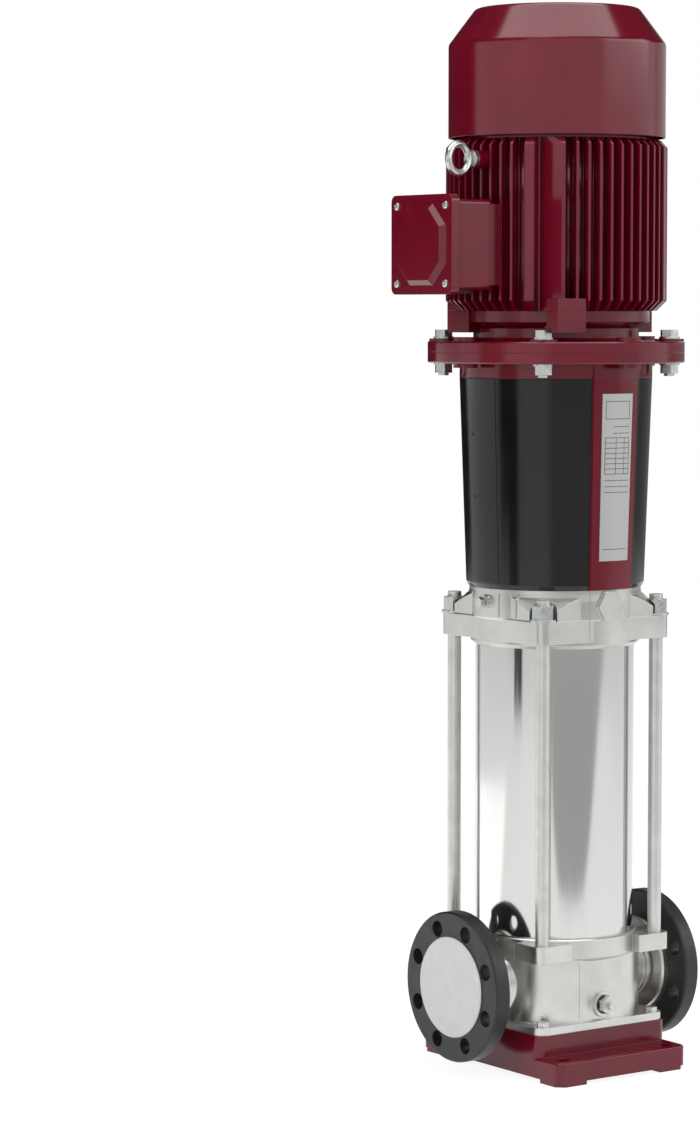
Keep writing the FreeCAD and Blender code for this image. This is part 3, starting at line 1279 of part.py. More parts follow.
def make_fan_cover():
    body = new_body("fan_cover")
    section = new_sketch(body, "XZ_Plane")
    draw_polygon(section, [
        ("0", "fan_cover_low"), ("fan_cover_radius", "fan_cover_low"),
        ("fan_cover_radius", "fan_cover_shoulder"), ("fan_cover_top_radius", "fan_cover_top"),
        ("0", "fan_cover_top"),
    ])
    solid = revolve(body, section)
    shoulders = (mm("fan_cover_shoulder"), mm("fan_cover_top"))
    blend(body, solid, "fan_cover_round",
          lambda edge: any(is_level_at(edge, height) for height in shoulders))
    hollow = new_sketch(body, "XZ_Plane")
    draw_polygon(hollow, [
        ("0", "fan_cover_low - 1"), ("fan_cover_radius - fan_cover_wall", "fan_cover_low - 1"),
        ("fan_cover_radius - fan_cover_wall", "fan_cover_shoulder - 5"),
        ("fan_cover_radius - fan_cover_wall - 3", "fan_cover_shoulder + 3"),
        ("fan_cover_top_radius - fan_cover_wall", "fan_cover_top - fan_cover_wall - 3"),
        ("fan_cover_top_radius - fan_cover_wall - 6", "fan_cover_top - fan_cover_wall"),
        ("0", "fan_cover_top - fan_cover_wall"),
    ])
    revolve(body, hollow, cut=True)
    slots = new_sketch(body, "XZ_Plane")
    for number in range(SIZES["grille_rings"]):
        inner = f"grille_inner + {number} * grille_pitch"
        draw_rectangle(slots, inner, f"{inner} + grille_slot",
                       "fan_cover_top - fan_cover_wall - 4", "fan_cover_top + 1")
    ring_of(body, [revolve(body, slots, "grille_slot_angle", cut=True)], "grille_spokes")
    ears = new_sketch(body, "XY_Plane", start="fan_cover_low + 0.5")
    inside = "fan_cover_radius - fan_cover_wall"
    draw_rectangle(ears, "frame_radius + fit_gap", f"{inside} + 0.5", "-9", "9")
    ring_of(body, [extrude(body, ears, "4")], "4")


# Inside the motor

def bearing_rings(bore_side, low):
    """Section of one bearing's inner or outer ring."""
    if bore_side:
        return plain_ring("bearing_bore + fit_gap", "bearing_bore + bearing_ring", low,
                          f"{low} + bearing_width")
    return plain_ring("bearing_outer - bearing_ring", "bearing_outer", low, f"{low} + bearing_width")


def make_bearings():
    for label, bore_side in (("bearing_outer_rings", False), ("bearing_inner_rings", True)):
        body = new_body(label)
        for low in ("front_bearing_low", "rear_bearing_low"):
            section = new_sketch(body, "XZ_Plane")
            draw_polygon(section, bearing_rings(bore_side, low))
            revolve(body, section)


def make_motor_inside():
    turned_piece("motor_shaft", [
        ("0", "shaft_end_low"), ("shaft_end_radius - 1.5", "shaft_end_low"),
        ("shaft_end_radius", "shaft_end_low + 1.5"), ("shaft_end_radius", "stool_top - 4"),
        ("bearing_bore", "stool_top"), ("bearing_bore", "front_bearing_low + bearing_width"),
        ("shaft_body_radius", "front_bearing_low + bearing_width"),
        ("shaft_body_radius", "rear_bearing_low"), ("bearing_bore", "rear_bearing_low"),
        ("bearing_bore", "rear_bearing_low + bearing_width"), ("bearing_bore - 2", "fan_low - 4"),
        ("bearing_bore - 2", "shaft_top"), ("0", "shaft_top"),
    ])
    turned_piece("rotor_core", plain_ring("shaft_body_radius + fit_gap", "rotor_radius",
                                          "core_low", "core_top"))
    turned_piece("stator_core", plain_ring("stator_inner", "frame_bore - fit_gap", "core_low", "core_top"))
    windings = new_body("stator_windings")
    for low, high in (("core_low - winding_rise", "core_low"), ("core_top", "core_top + winding_rise")):
        section = new_sketch(windings, "XZ_Plane")
        draw_polygon(section, plain_ring("winding_inner", "frame_bore - 5", low, high))
        revolve(windings, section)


def make_fan():
    body = new_body("cooling_fan")
    hub = new_sketch(body, "XZ_Plane")
    draw_polygon(hub, [
        ("bearing_bore - 2 + fit_gap", "fan_low"), ("fan_radius - 12", "fan_low"),
        ("fan_radius - 12", "fan_low + 2.5"), ("fan_hub_radius", "fan_low + 2.5"),
        ("fan_hub_radius - 2", "fan_low + fan_width"), ("bearing_bore - 2 + fit_gap", "fan_low + fan_width"),
    ])
    revolve(body, hub)
    blade = new_sketch(body, "XZ_Plane", start="-1.25")
    draw_polygon(blade, [
        ("fan_hub_radius - 3", "fan_low"), ("fan_radius", "fan_low"),
        ("fan_radius", "fan_low + fan_width - 8"), ("fan_hub_radius - 3", "fan_low + fan_width"),
    ])
    ring_of(body, [extrude(body, blade, "2.5")], "fan_blades")


# Terminal box

def make_terminal_box():
    body = new_body("terminal_box")
    shell = new_sketch(body, "YZ_Plane", start="-box_face", lift="box_height")
    draw_rectangle(shell, "-box_half_width", "box_half_width", "-box_half_rise", "box_half_rise")
    block = extrude(body, shell, "box_depth")
    blend(body, block, "box_round", lambda edge: edge.BoundBox.XLength > 1)
    cavity = new_sketch(body, "YZ_Plane", start="-box_face", lift="box_height")
    draw_rectangle(cavity, "-box_half_width + box_wall", "box_half_width - box_wall",
                   "-box_half_rise + box_wall", "box_half_rise - box_wall")
    extrude(body, cavity, "box_depth - box_wall", cut=True)
    posts = new_sketch(body, "YZ_Plane", start="-box_face", lift="box_height")
    for across, up in four_corners("lid_screw_offset", "lid_screw_offset - 2"):
        draw_circle(posts, across, up, "lid_screw_radius + 3")
    extrude(body, posts, "box_depth")
    tapped = new_sketch(body, "YZ_Plane", start="-box_face", lift="box_height")
    for across, up in four_corners("lid_screw_offset", "lid_screw_offset - 2"):
        draw_circle(tapped, across, up, "lid_screw_radius + fit_gap")
    extrude(body, tapped, "10", cut=True)
    entries = new_sketch(body, "XY_Plane", start="box_height - box_half_rise - 1")
    for sign in (-1, 1):
        draw_circle(entries, "-(box_seat + box_depth / 2)", f"{sign} * entry_offset",
                    "entry_radius + fit_gap")
    extrude(body, entries, "box_wall + 2", cut=True)


def make_entry_plugs():
    body = new_body("cable_entry_plugs")
    across = "-(box_seat + box_depth / 2)"
    stems = new_sketch(body, "XY_Plane", start="box_height - box_half_rise")
    heads = new_sketch(body, "XY_Plane", start="box_height - box_half_rise - entry_head_rise")
    for sign in (-1, 1):
        draw_circle(stems, across, f"{sign} * entry_offset", "entry_radius")
        draw_hexagon(heads, across, f"{sign} * entry_offset", "2 * entry_head_radius")
    extrude(body, stems, "box_wall + 2")
    extrude(body, heads, "entry_head_rise")


def draw_octagon(sketch, half, flat):
    """A square with cut corners: half its width, and half the length of its upright sides."""
    draw_polygon(sketch, [
        (f"-({flat})", f"-({half})"), (flat, f"-({half})"), (half, f"-({flat})"), (half, flat),
        (flat, half), (f"-({flat})", half), (f"-({half})", flat), (f"-({half})", f"-({flat})"),
    ])


def make_lid():
    gasket = new_body("terminal_box_gasket")
    frame = new_sketch(gasket, "YZ_Plane", start="-lid_seat", lift="box_height")
    draw_rectangle(frame, "-box_half_width", "box_half_width", "-box_half_rise", "box_half_rise")
    draw_rectangle(frame, "-box_half_width + box_wall", "box_half_width - box_wall",
                   "-box_half_rise + box_wall", "box_half_rise - box_wall")
    extrude(gasket, frame, "lid_gasket")
    body = new_body("terminal_box_lid")
    outline = new_sketch(body, "YZ_Plane", start="-lid_face", lift="box_height")
    draw_rectangle(outline, "-lid_half_width", "lid_half_width", "-lid_half_rise", "lid_half_rise")
    block = extrude(body, outline, "lid_thickness")
    blend(body, block, "lid_round", lambda edge: edge.BoundBox.XLength > 1)
    foot = new_sketch(body, "YZ_Plane", start="-lid_face", lift="box_height")
    draw_octagon(foot, "lid_panel_half", "lid_panel_half - lid_panel_corner")
    crown = new_sketch(body, "YZ_Plane", start="-lid_face - lid_panel_rise", lift="box_height")
    draw_octagon(crown, "lid_panel_half - lid_panel_rise",
                 "lid_panel_half - lid_panel_corner - lid_panel_rise * tan(22.5)")
    panel = body.newObject("PartDesign::AdditiveLoft", "lid_panel")
    panel.Profile = foot
    panel.Sections = [crown]
    panel.Ruled = True
    holes = new_sketch(body, "YZ_Plane", start="-lid_face", lift="box_height")
    for across, up in four_corners("lid_screw_offset", "lid_screw_offset - 2"):
        draw_circle(holes, across, up, "lid_screw_radius + seat_gap")
    extrude(body, holes, "lid_thickness", cut=True)
    screws = new_body("terminal_box_screws")
    heads = new_sketch(screws, "YZ_Plane", start="-lid_face - lid_screw_head_rise", lift="box_height")
    shanks = new_sketch(screws, "YZ_Plane", start="-lid_face", lift="box_height")
    for across, up in four_corners("lid_screw_offset", "lid_screw_offset - 2"):
        draw_circle(heads, across, up, "lid_screw_head_radius")
        draw_circle(shanks, across, up, "lid_screw_radius")
    extrude(screws, heads, "lid_screw_head_rise")
    extrude(screws, shanks, "lid_thickness + lid_gasket + 9")


def make_terminal_block():
    body = new_body("terminal_block")
    low = "-(box_seat + box_wall + block_depth)"
    block = new_sketch(body, "YZ_Plane", start=low, lift="box_height")
    draw_rectangle(block, "-block_half_width", "block_half_width", "-block_half_rise", "block_half_rise")
    extrude(body, block, "block_depth")
    studs = new_sketch(body, "YZ_Plane", start=f"{low} - 8", lift="box_height")
    for column in (-1, 0, 1):
        for row in (-1, 1):
            draw_circle(studs, f"{column} * stud_pitch", f"{row} * stud_pitch", "stud_radius")
    extrude(body, studs, "9")


# Lifting eyes

def make_eye_bolts():
    body = new_body("eye_bolts")
    stem = new_sketch(body, "YZ_Plane", start="eye_boss_reach - eye_shank_length", lift="eye_height",
                      turned="eye_angle")
    draw_circle(stem, "0", "0", "eye_shank_radius")
    stem_pad = extrude(body, stem, "eye_shank_length")
    collar = new_sketch(body, "YZ_Plane", start="eye_boss_reach", lift="eye_height", turned="eye_angle")
    draw_circle(collar, "0", "0", "eye_collar_radius")
    collar_pad = extrude(body, collar, "eye_collar_rise")
    ring = new_sketch(body, "XY_Plane", start="eye_height")
    ring.AttachmentOffset = FreeCAD.Placement(FreeCAD.Vector(0, 0, 0),
                                              FreeCAD.Rotation(FreeCAD.Vector(0, 0, 1), 1))
    ring.setExpression("AttachmentOffset.Rotation.Angle", bind("eye_angle"))
    ring.setExpression("AttachmentOffset.Base.x", bind("eye_ring_reach * cos(eye_angle)"))
    ring.setExpression("AttachmentOffset.Base.y", bind("eye_ring_reach * sin(eye_angle)"))
    draw_circle(ring, "eye_ring_radius", "0", "eye_wire_radius")
    ring_turn = revolve(body, ring)
    ring_of(body, [stem_pad, collar_pad, ring_turn], "eye_count")


make_base_plate()
make_pump_base()
make_foot_bolts()
make_drain_plug()
make_port_flange("suction_flange", -1)
make_port_flange("discharge_flange", 1)
make_retaining_rings()
make_port_cover("suction_port_cover", -1)
make_port_cover("discharge_port_cover", 1)
make_sleeve_and_stays()
make_pump_head()
make_head_plugs()
for stage in range(1, SIZES["stage_count"] + 1):
    make_stage(stage)
make_pump_shaft()
make_shaft_seal()
make_stool()
make_stool_screws()
make_guard("coupling_guard_left", -1)
make_guard("coupling_guard_right", 1)
make_nameplate()
make_coupling()
make_front_shield()
make_flange_bolts()
make_motor_frame()
make_rear_shield()
make_fan_cover()
make_bearings()
make_motor_inside()
make_fan()
make_terminal_box()
make_entry_plugs()
make_lid()
make_terminal_block()
make_eye_bolts()
doc.recompute()

for item in doc.Objects:
    if "Invalid" in item.State or "Error" in item.State:
        raise RuntimeError(f"{item.Name} did not compute: {item.State}")
for part in parts:
    if part.Shape.isNull() or not part.Shape.isValid() or not part.Shape.Solids:
        raise RuntimeError(f"{part.Label} has no valid solid")

os.makedirs("parts", exist_ok=True)
for part in parts:
    part.Shape.exportStep(os.path.join("parts", part.Label + ".step"))
    print(f"{part.Label}: {len(part.Shape.Solids)} solids, {part.Shape.Volume / 1000:.1f} cm3")
print(len(parts), "nodes, shaft axis height", round(mm("fan_cover_top"), 1), "mm",
      "bolt circle", round(2 * math.hypot(mm("stay_across"), mm("stay_across")), 1), "mm")
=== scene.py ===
"""Looks of the vertical multistage pump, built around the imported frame. Lengths in metres."""
import json
import math

import bmesh
import bpy
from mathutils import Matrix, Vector
from mathutils.bvhtree import BVHTree


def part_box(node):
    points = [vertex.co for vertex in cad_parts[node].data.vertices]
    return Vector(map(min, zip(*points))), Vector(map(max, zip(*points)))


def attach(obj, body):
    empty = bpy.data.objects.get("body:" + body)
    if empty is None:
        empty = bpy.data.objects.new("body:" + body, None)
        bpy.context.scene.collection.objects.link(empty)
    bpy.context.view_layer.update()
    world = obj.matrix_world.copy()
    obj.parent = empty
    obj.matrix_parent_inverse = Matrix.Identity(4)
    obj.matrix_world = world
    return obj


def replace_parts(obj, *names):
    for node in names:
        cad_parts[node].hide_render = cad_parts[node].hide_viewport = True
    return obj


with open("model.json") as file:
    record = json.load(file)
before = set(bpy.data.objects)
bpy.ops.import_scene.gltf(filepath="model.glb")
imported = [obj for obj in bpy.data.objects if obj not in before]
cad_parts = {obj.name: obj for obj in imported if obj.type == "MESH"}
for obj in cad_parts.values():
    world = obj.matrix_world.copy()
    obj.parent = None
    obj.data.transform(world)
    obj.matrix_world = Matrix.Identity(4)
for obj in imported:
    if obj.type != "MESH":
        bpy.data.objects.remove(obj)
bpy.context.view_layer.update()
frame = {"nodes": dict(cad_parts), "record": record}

MM = 0.001
UP = Vector((0, 0, 1))

# Camera of the photograph, worked out from the object's own edges
CAMERA_PLACE = (-2.607, -3.264, 0.888)
CAMERA_TURN = math.radians(35.31)
CAMERA_PITCH = math.radians(4.23)
CAMERA_LENS = 112.0
CAMERA_SENSOR = 36.0

# White of the backdrop as the camera and reflections see it, and its soft light on the object
BACKDROP_WHITE = 1.0
BACKDROP_LIGHT = 0.62

# The floor: how white its glow is to the camera, and how much of it glows instead of taking shadow
FLOOR_WHITE = 1.12
FLOOR_GLOW_SHARE = 0.8
FLOOR_RADIUS = 14.0
# In reflections it dims from a distance beside the object to one far away: distance, brightness
FLOOR_NEAR = (0.8, 1.15)
FLOOR_FAR = (7.0, 0.72)

# Rays that look for a casting's surface start this far from the pump's axis, outside every piece
RAY_START = 300 * MM
# The motor frame's ribs and hollows end this much inside its two ends
FRAME_END_GAP = 0.2 * MM
# Values that a noise texture seldom leaves, spread over the whole range of what it drives
NOISE_RANGE = {"From Min": 0.3, "From Max": 0.7}


def linear(hex_colour):
    """An sRGB hex colour as the linear values that a shader takes, by the sRGB standard's curve."""
    values = []
    for start in (0, 2, 4):
        share = int(hex_colour[start:start + 2], 16) / 255
        values.append(share / 12.92 if share <= 0.04045 else ((share + 0.055) / 1.055) ** 2.4)
    return (*values, 1.0)


# Materials

def add(tree, kind, inputs=None, **settings):
    """Add a node; an input given as a node and its output's name is linked, anything else is set."""
    node = tree.nodes.new(kind)
    for name, value in settings.items():
        setattr(node, name, value)
    for name, value in (inputs or {}).items():
        if isinstance(value, tuple) and len(value) == 2 and isinstance(value[0], bpy.types.Node):
            tree.links.new(value[0].outputs[value[1]], node.inputs[name])
        else:
            node.inputs[name].default_value = value
    return node


def new_material(name, **shader_values):
    """A material, and its nodes that every finish uses: the tree, the position and the shader."""
    material = bpy.data.materials.new(name)
    material.use_nodes = True
    tree = material.node_tree
    shader = tree.nodes["Principled BSDF"]
    for socket, value in shader_values.items():
        shader.inputs[socket.replace("_", " ")].default_value = value
    return material, (tree, add(tree, "ShaderNodeTexCoord"), shader)


def surface_bump(nodes, grain, depth, strength, edge):
    """A grain of bumps, as wide and high as given, over edges rounded as real ones are."""
    tree, place, shader = nodes
    noise = add(tree, "ShaderNodeTexNoise", {"Vector": (place, "Object"), "Scale": 1 / grain,
                                             "Detail": 3.0})
    rounded = add(tree, "ShaderNodeBevel", {"Radius": edge}, samples=4)
    bump = add(tree, "ShaderNodeBump", {"Height": (noise, "Fac"), "Normal": (rounded, "Normal"),
                                        "Distance": depth, "Strength": strength})
    tree.links.new(bump.outputs["Normal"], shader.inputs["Normal"])


def vary_roughness(nodes, patch, low, high):
    """Let the roughness wander between two values over patches of a size."""
    tree, place, shader = nodes
    noise = add(tree, "ShaderNodeTexNoise", {"Vector": (place, "Object"), "Scale": 1 / patch,
                                             "Detail": 4.0})
    spread = add(tree, "ShaderNodeMapRange", {"Value": (noise, "Fac"), **NOISE_RANGE,
                                              "To Min": low, "To Max": high})
    tree.links.new(spread.outputs["Result"], shader.inputs["Roughness"])


def tint(nodes, patch, dark, light):
    """Let the base colour wander between two near colours over patches of a size."""
    tree, place, shader = nodes
    noise = add(tree, "ShaderNodeTexNoise", {"Vector": (place, "Object"), "Scale": 1 / patch,
                                             "Detail": 5.0})
    ramp = add(tree, "ShaderNodeValToRGB", {"Fac": (noise, "Fac")})
    for stop, position, colour in zip(ramp.color_ramp.elements, (0.35, 0.65), (dark, light)):
        stop.position = position
        stop.color = linear(colour)
    tree.links.new(ramp.outputs["Color"], shader.inputs["Base Color"])


def wine_red_gloss_enamel():
    # Two-pack enamel sprayed on cast iron and aluminium: wet-looking, with faint orange peel
    material, nodes = new_material("wine_red_gloss_enamel", Roughness=0.16, IOR=1.5)
    tint(nodes, patch=60 * MM, dark="600219", light="68041D")
    # Orange peel is about 1.5 mm from crest to crest
    surface_bump(nodes, grain=1.5 * MM, depth=0.01 * MM, strength=0.2, edge=1.2 * MM)
    return material


def blasted_cast_stainless():
    # Investment-cast stainless steel, blasted with glass beads: an even satin grey without grain
    material, nodes = new_material("blasted_cast_stainless", Metallic=1.0)
    tint(nodes, patch=45 * MM, dark="C8C8C5", light="D5D5D2")
    vary_roughness(nodes, patch=30 * MM, low=0.27, high=0.35)
    # Bead marks are about 0.2 mm wide, drawn at 0.6 mm so that they show
    surface_bump(nodes, grain=0.6 * MM, depth=0.03 * MM, strength=0.3, edge=1.2 * MM)
    return material


def mirror_polished_stainless():
    # Rolled stainless tube, buffed to a mirror along its length: sharp reflections, drawn out upright
    material, nodes = new_material("mirror_polished_stainless", Metallic=1.0,
                                   Base_Color=linear("D6D6D4"))
    tree, place, shader = nodes
    # Buffing lines are about 0.3 mm apart, drawn at 2 mm so that they show, and 50 times as long
    stretch = add(tree, "ShaderNodeMapping", {"Vector": (place, "Object"), "Scale": (1.0, 1.0, 0.02)})
    lines = add(tree, "ShaderNodeTexNoise", {"Vector": (stretch, "Vector"), "Scale": 1 / (2 * MM),
                                             "Detail": 2.0})
    spread = add(tree, "ShaderNodeMapRange", {"Value": (lines, "Fac"), **NOISE_RANGE,
                                              "To Min": 0.07, "To Max": 0.12})
    tree.links.new(spread.outputs["Result"], shader.inputs["Roughness"])
    return material


def turned_stainless():
    # Stainless bar and pressings, turned: a little lighter than the castings, and satin all round
    material, nodes = new_material("turned_stainless", Metallic=1.0)
    tint(nodes, patch=20 * MM, dark="CCCCC9", light="D6D6D3")
    vary_roughness(nodes, patch=8 * MM, low=0.36, high=0.44)
    # The tool's marks are about 0.1 mm apart, drawn at 0.8 mm so that they show
    surface_bump(nodes, grain=0.8 * MM, depth=0.001 * MM, strength=0.12, edge=0.5 * MM)
    return material


def bright_zinc_plate():
    # Bright zinc on rolled and pressed fasteners: silvery, with a slightly uneven deposit
    material, nodes = new_material("bright_zinc_plate", Metallic=1.0)
    tint(nodes, patch=6 * MM, dark="C6CAC7", light="D4D8D5")
    vary_roughness(nodes, patch=5 * MM, low=0.22, high=0.36)
    # The deposit's grain is about 0.1 mm, drawn at 0.5 mm so that it shows
    surface_bump(nodes, grain=0.5 * MM, depth=0.004 * MM, strength=0.2, edge=0.6 * MM)
    return material


def satin_black_coating():
    # Dip coating on cast iron: charcoal, half matt, with the casting's skin just showing
    material, nodes = new_material("satin_black_coating", IOR=1.5)
    tint(nodes, patch=25 * MM, dark="1D1D1D", light="242424")
    vary_roughness(nodes, patch=15 * MM, low=0.4, high=0.52)
    # The sand of the mould leaves a skin of about 0.9 mm from crest to crest
    surface_bump(nodes, grain=0.9 * MM, depth=0.04 * MM, strength=0.35, edge=1.0 * MM)
    return material


def gloss_black_moulding():
    # Injection-moulded ABS from a polished tool: deep black and very smooth
    material, nodes = new_material("gloss_black_moulding", IOR=1.53, Base_Color=linear("0B0B0B"))
    vary_roughness(nodes, patch=40 * MM, low=0.12, high=0.17)
    # Sink marks are about 30 mm wide and very shallow
    surface_bump(nodes, grain=30 * MM, depth=0.05 * MM, strength=0.15, edge=1.0 * MM)
    return material


def white_moulded_polyethylene():
    # Push-in port cover, moulded: soft white plastic with a fine matt texture from its tool
    material, nodes = new_material("white_moulded_polyethylene", IOR=1.51, Roughness=0.45)
    tint(nodes, patch=20 * MM, dark="C4C4C4", light="CACACA")
    # The tool's texture is about 0.2 mm wide, drawn at 0.5 mm so that it shows
    surface_bump(nodes, grain=0.5 * MM, depth=0.01 * MM, strength=0.2, edge=0.6 * MM)
    return material


def anodised_aluminium_sheet():
    # Rating plate: matt anodised sheet, brushed along its length
    material, nodes = new_material("anodised_aluminium_sheet", Metallic=0.6, Roughness=0.42,
                                   Base_Color=linear("B2B2B2"))
    tree, place, shader = nodes
    # Brush lines are about 0.1 mm apart, drawn at 0.7 mm so that they show, and 33 times as long
    stretch = add(tree, "ShaderNodeMapping", {"Vector": (place, "Object"), "Scale": (1.0, 1.0, 0.03)})
    brushed = add(tree, "ShaderNodeTexNoise", {"Vector": (stretch, "Vector"), "Scale": 1 / (0.7 * MM)})
    bump = add(tree, "ShaderNodeBump", {"Height": (brushed, "Fac"), "Distance": 0.02 * MM,
                                        "Strength": 0.3})
    tree.links.new(bump.outputs["Normal"], shader.inputs["Normal"])
    return material


def nitrile_rubber():
    # Moulded nitrile rubber: dull black with a faint bloom
    material, nodes = new_material("nitrile_rubber", IOR=1.52, Roughness=0.7)
    tint(nodes, patch=12 * MM, dark="141414", light="1E1E1E")
    # The bloom's grain is about 0.3 mm, drawn at 0.8 mm so that it shows
    surface_bump(nodes, grain=0.8 * MM, depth=0.02 * MM, strength=0.3, edge=0.3 * MM)
    return material


def oiled_spring_steel():
    # Phosphated and oiled spring wire: dark grey with a low sheen
    material, nodes = new_material("oiled_spring_steel", Metallic=1.0, Roughness=0.45)
    tint(nodes, patch=10 * MM, dark="3A3A3C", light="4A4A4C")
    # Phosphate crystals are about 0.05 mm, drawn at 0.6 mm so that they show
    surface_bump(nodes, grain=0.6 * MM, depth=0.02 * MM, strength=0.2, edge=0.3 * MM)
    return material


def ground_steel():
    # Carbon steel of shafts and bearing rings, ground: bright, with crisp reflections
    material, nodes = new_material("ground_steel", Metallic=1.0)
    tint(nodes, patch=15 * MM, dark="A8A8A8", light="B8B8B8")
    vary_roughness(nodes, patch=10 * MM, low=0.2, high=0.32)
    # Grinding marks are about 0.05 mm wide, drawn at 0.5 mm so that they show
    surface_bump(nodes, grain=0.5 * MM, depth=0.01 * MM, strength=0.2, edge=0.4 * MM)
    return material


def machined_iron():
    # Nodular iron, machined and left bare: mid grey with a coarse grain
    material, nodes = new_material("machined_iron", Metallic=1.0, Roughness=0.5)
    tint(nodes, patch=8 * MM, dark="6E6E6C", light="80807E")
    # The cutter's feed is about 0.8 mm
    surface_bump(nodes, grain=0.8 * MM, depth=0.03 * MM, strength=0.3, edge=0.5 * MM)
    return material


def varnished_copper():
    # End windings dipped in clear varnish: warm brown, with the wires' turns as a coarse relief
    material, nodes = new_material("varnished_copper", Metallic=1.0, Roughness=0.35)
    tint(nodes, patch=4 * MM, dark="8A4A26", light="A65C30")
    # The wires are about 1.2 mm thick
    surface_bump(nodes, grain=1.2 * MM, depth=0.3 * MM, strength=0.6, edge=0.3 * MM)
    return material


def black_polyamide():
    # Glass-filled polyamide of fan, plugs and terminal block: dull black with a fine texture
    material, nodes = new_material("black_polyamide", IOR=1.53, Roughness=0.55)
    tint(nodes, patch=15 * MM, dark="161616", light="1C1C1C")
    # The glass fibres leave a texture of about 0.2 mm, drawn at 0.6 mm so that it shows
    surface_bump(nodes, grain=0.6 * MM, depth=0.03 * MM, strength=0.3, edge=0.5 * MM)
    return material


def lapped_seal_carbon():
    # Carbon and carbide seal faces, lapped flat: near black, smooth, with a grey shine
    material, nodes = new_material("lapped_seal_carbon", IOR=1.8, Roughness=0.3)
    tint(nodes, patch=10 * MM, dark="202022", light="2A2A2C")
    # The carbon's pores are about 0.05 mm, drawn at 0.5 mm so that they show
    surface_bump(nodes, grain=0.5 * MM, depth=0.01 * MM, strength=0.2, edge=0.3 * MM)
    return material


def screen_print_ink():
    # Ink of a rating plate's ruled form, pressed through a screen: matt and faintly worn
    material, nodes = new_material("screen_print_ink", Roughness=0.6, IOR=1.5)
    tint(nodes, patch=3 * MM, dark="3A3A3C", light="4C4C4E")
    return material


# The finish of each material slot of the frame
FINISHES = {}
for make_finish, *slots in (
        (wine_red_gloss_enamel, "red_gloss_paint"),
        (blasted_cast_stainless, "cast_stainless"),
        (mirror_polished_stainless, "polished_stainless"),
        (turned_stainless, "stainless_rod", "stage_stainless"),
        (bright_zinc_plate, "zinc_steel"),
        (satin_black_coating, "black_flange_paint"),
        (gloss_black_moulding, "black_gloss_guard"),
        (white_moulded_polyethylene, "white_cover_plastic"),
        (anodised_aluminium_sheet, "grey_plate_aluminium"),
        (nitrile_rubber, "black_rubber"),
        (oiled_spring_steel, "spring_steel"),
        (ground_steel, "shaft_steel", "bearing_steel"),
        (machined_iron, "coupling_iron", "core_steel"),
        (varnished_copper, "copper_winding"),
        (black_polyamide, "fan_plastic", "entry_plastic"),
        (lapped_seal_carbon, "seal_carbon")):
    FINISHES.update(dict.fromkeys(slots, make_finish()))

for part in frame["record"]["subparts"]:
    surface = frame["nodes"][part["node"]].data
    surface.materials.clear()
    surface.materials.append(FINISHES[part["material_slot"]])


# Tools for the small pieces

def directions(turn):
    """The level directions outward and sideways at a turn about an upright axis."""
    return Vector((math.cos(turn), math.sin(turn), 0)), Vector((-math.sin(turn), math.cos(turn), 0))


def loft(rings):
    """A closed solid through rings with the same number of points, as its places and faces."""
    count = len(rings[0])
    last = count * (len(rings) - 1)
    faces = [tuple(range(count)), tuple(range(last, last + count))]
    for first in range(0, last, count):
        for here in range(count):
            after = (here + 1) % count
            faces.append((first + here, first + after, first + after + count, first + here + count))
    return [place for ring in rings for place in ring], faces


def lathe(profile, segments):
    """A closed turned solid along +Z from radius and height pairs that start and end on the axis."""
    places = [UP * profile[0][1]]
    for radius, height in profile[1:-1]:
        for number in range(segments):
            out, _ = directions(math.tau * number / segments)
            places.append(out * radius + UP * height)
    places.append(UP * profile[-1][1])
    last, faces = len(places) - 1, []
    rings = len(profile) - 2
    for number in range(segments):
        after = (number + 1) % segments
        faces.append((0, 1 + after, 1 + number))
        for ring in range(rings - 1):
            low, high = 1 + ring * segments, 1 + (ring + 1) * segments
            faces.append((low + number, low + after, high + after, high + number))
        top = 1 + (rings - 1) * segments
        faces.append((top + number, top + after, last))
    return places, faces


def closed_mesh(name, solids, smooth=False, bevel=0.0):
    """One mesh of several closed solids, with its edges cut back where a bevel is given."""
    places, faces = [], []
    for more_places, more_faces in solids:
        faces += [tuple(len(places) + index for index in face) for face in more_faces]
        places += [tuple(place) for place in more_places]
    mesh = bpy.data.meshes.new(name)
    mesh.from_pydata(places, [], faces)
    mesh.validate()
    shape = bmesh.new()
    shape.from_mesh(mesh)
    bmesh.ops.recalc_face_normals(shape, faces=shape.faces)
    if bevel:
        bmesh.ops.bevel(shape, geom=shape.edges[:], offset=bevel, segments=2, affect="EDGES")
    shape.to_mesh(mesh)
    shape.free()
    for face in mesh.polygons:
        face.use_smooth = smooth
    return mesh


def new_object(name, data):
    """An object of the scene that shows the data."""
    thing = bpy.data.objects.new(name, data)
    bpy.context.scene.collection.objects.link(thing)
    return thing


def new_piece(name, mesh, slot, finish=None):
    """A visible piece with its finish, riding on the pump's body."""
    mesh.materials.append(finish or FINISHES[slot])
    piece = new_object(name, mesh)
    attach(piece, "pump")
    return piece


def carved(blank, recess):
    """The mesh of a blank with the recess's mesh cut out of it."""
    body, cutter = new_object(blank.name, blank), new_object(recess.name, recess)
    cut = body.modifiers.new("recess", "BOOLEAN")
    cut.operation = "DIFFERENCE"
    cut.solver = "EXACT"
    cut.use_self = True
    cut.object = cutter
    shaped = bpy.data.meshes.new_from_object(body.evaluated_get(bpy.context.evaluated_depsgraph_get()))
    bpy.data.objects.remove(body)
    bpy.data.objects.remove(cutter)
    return shaped


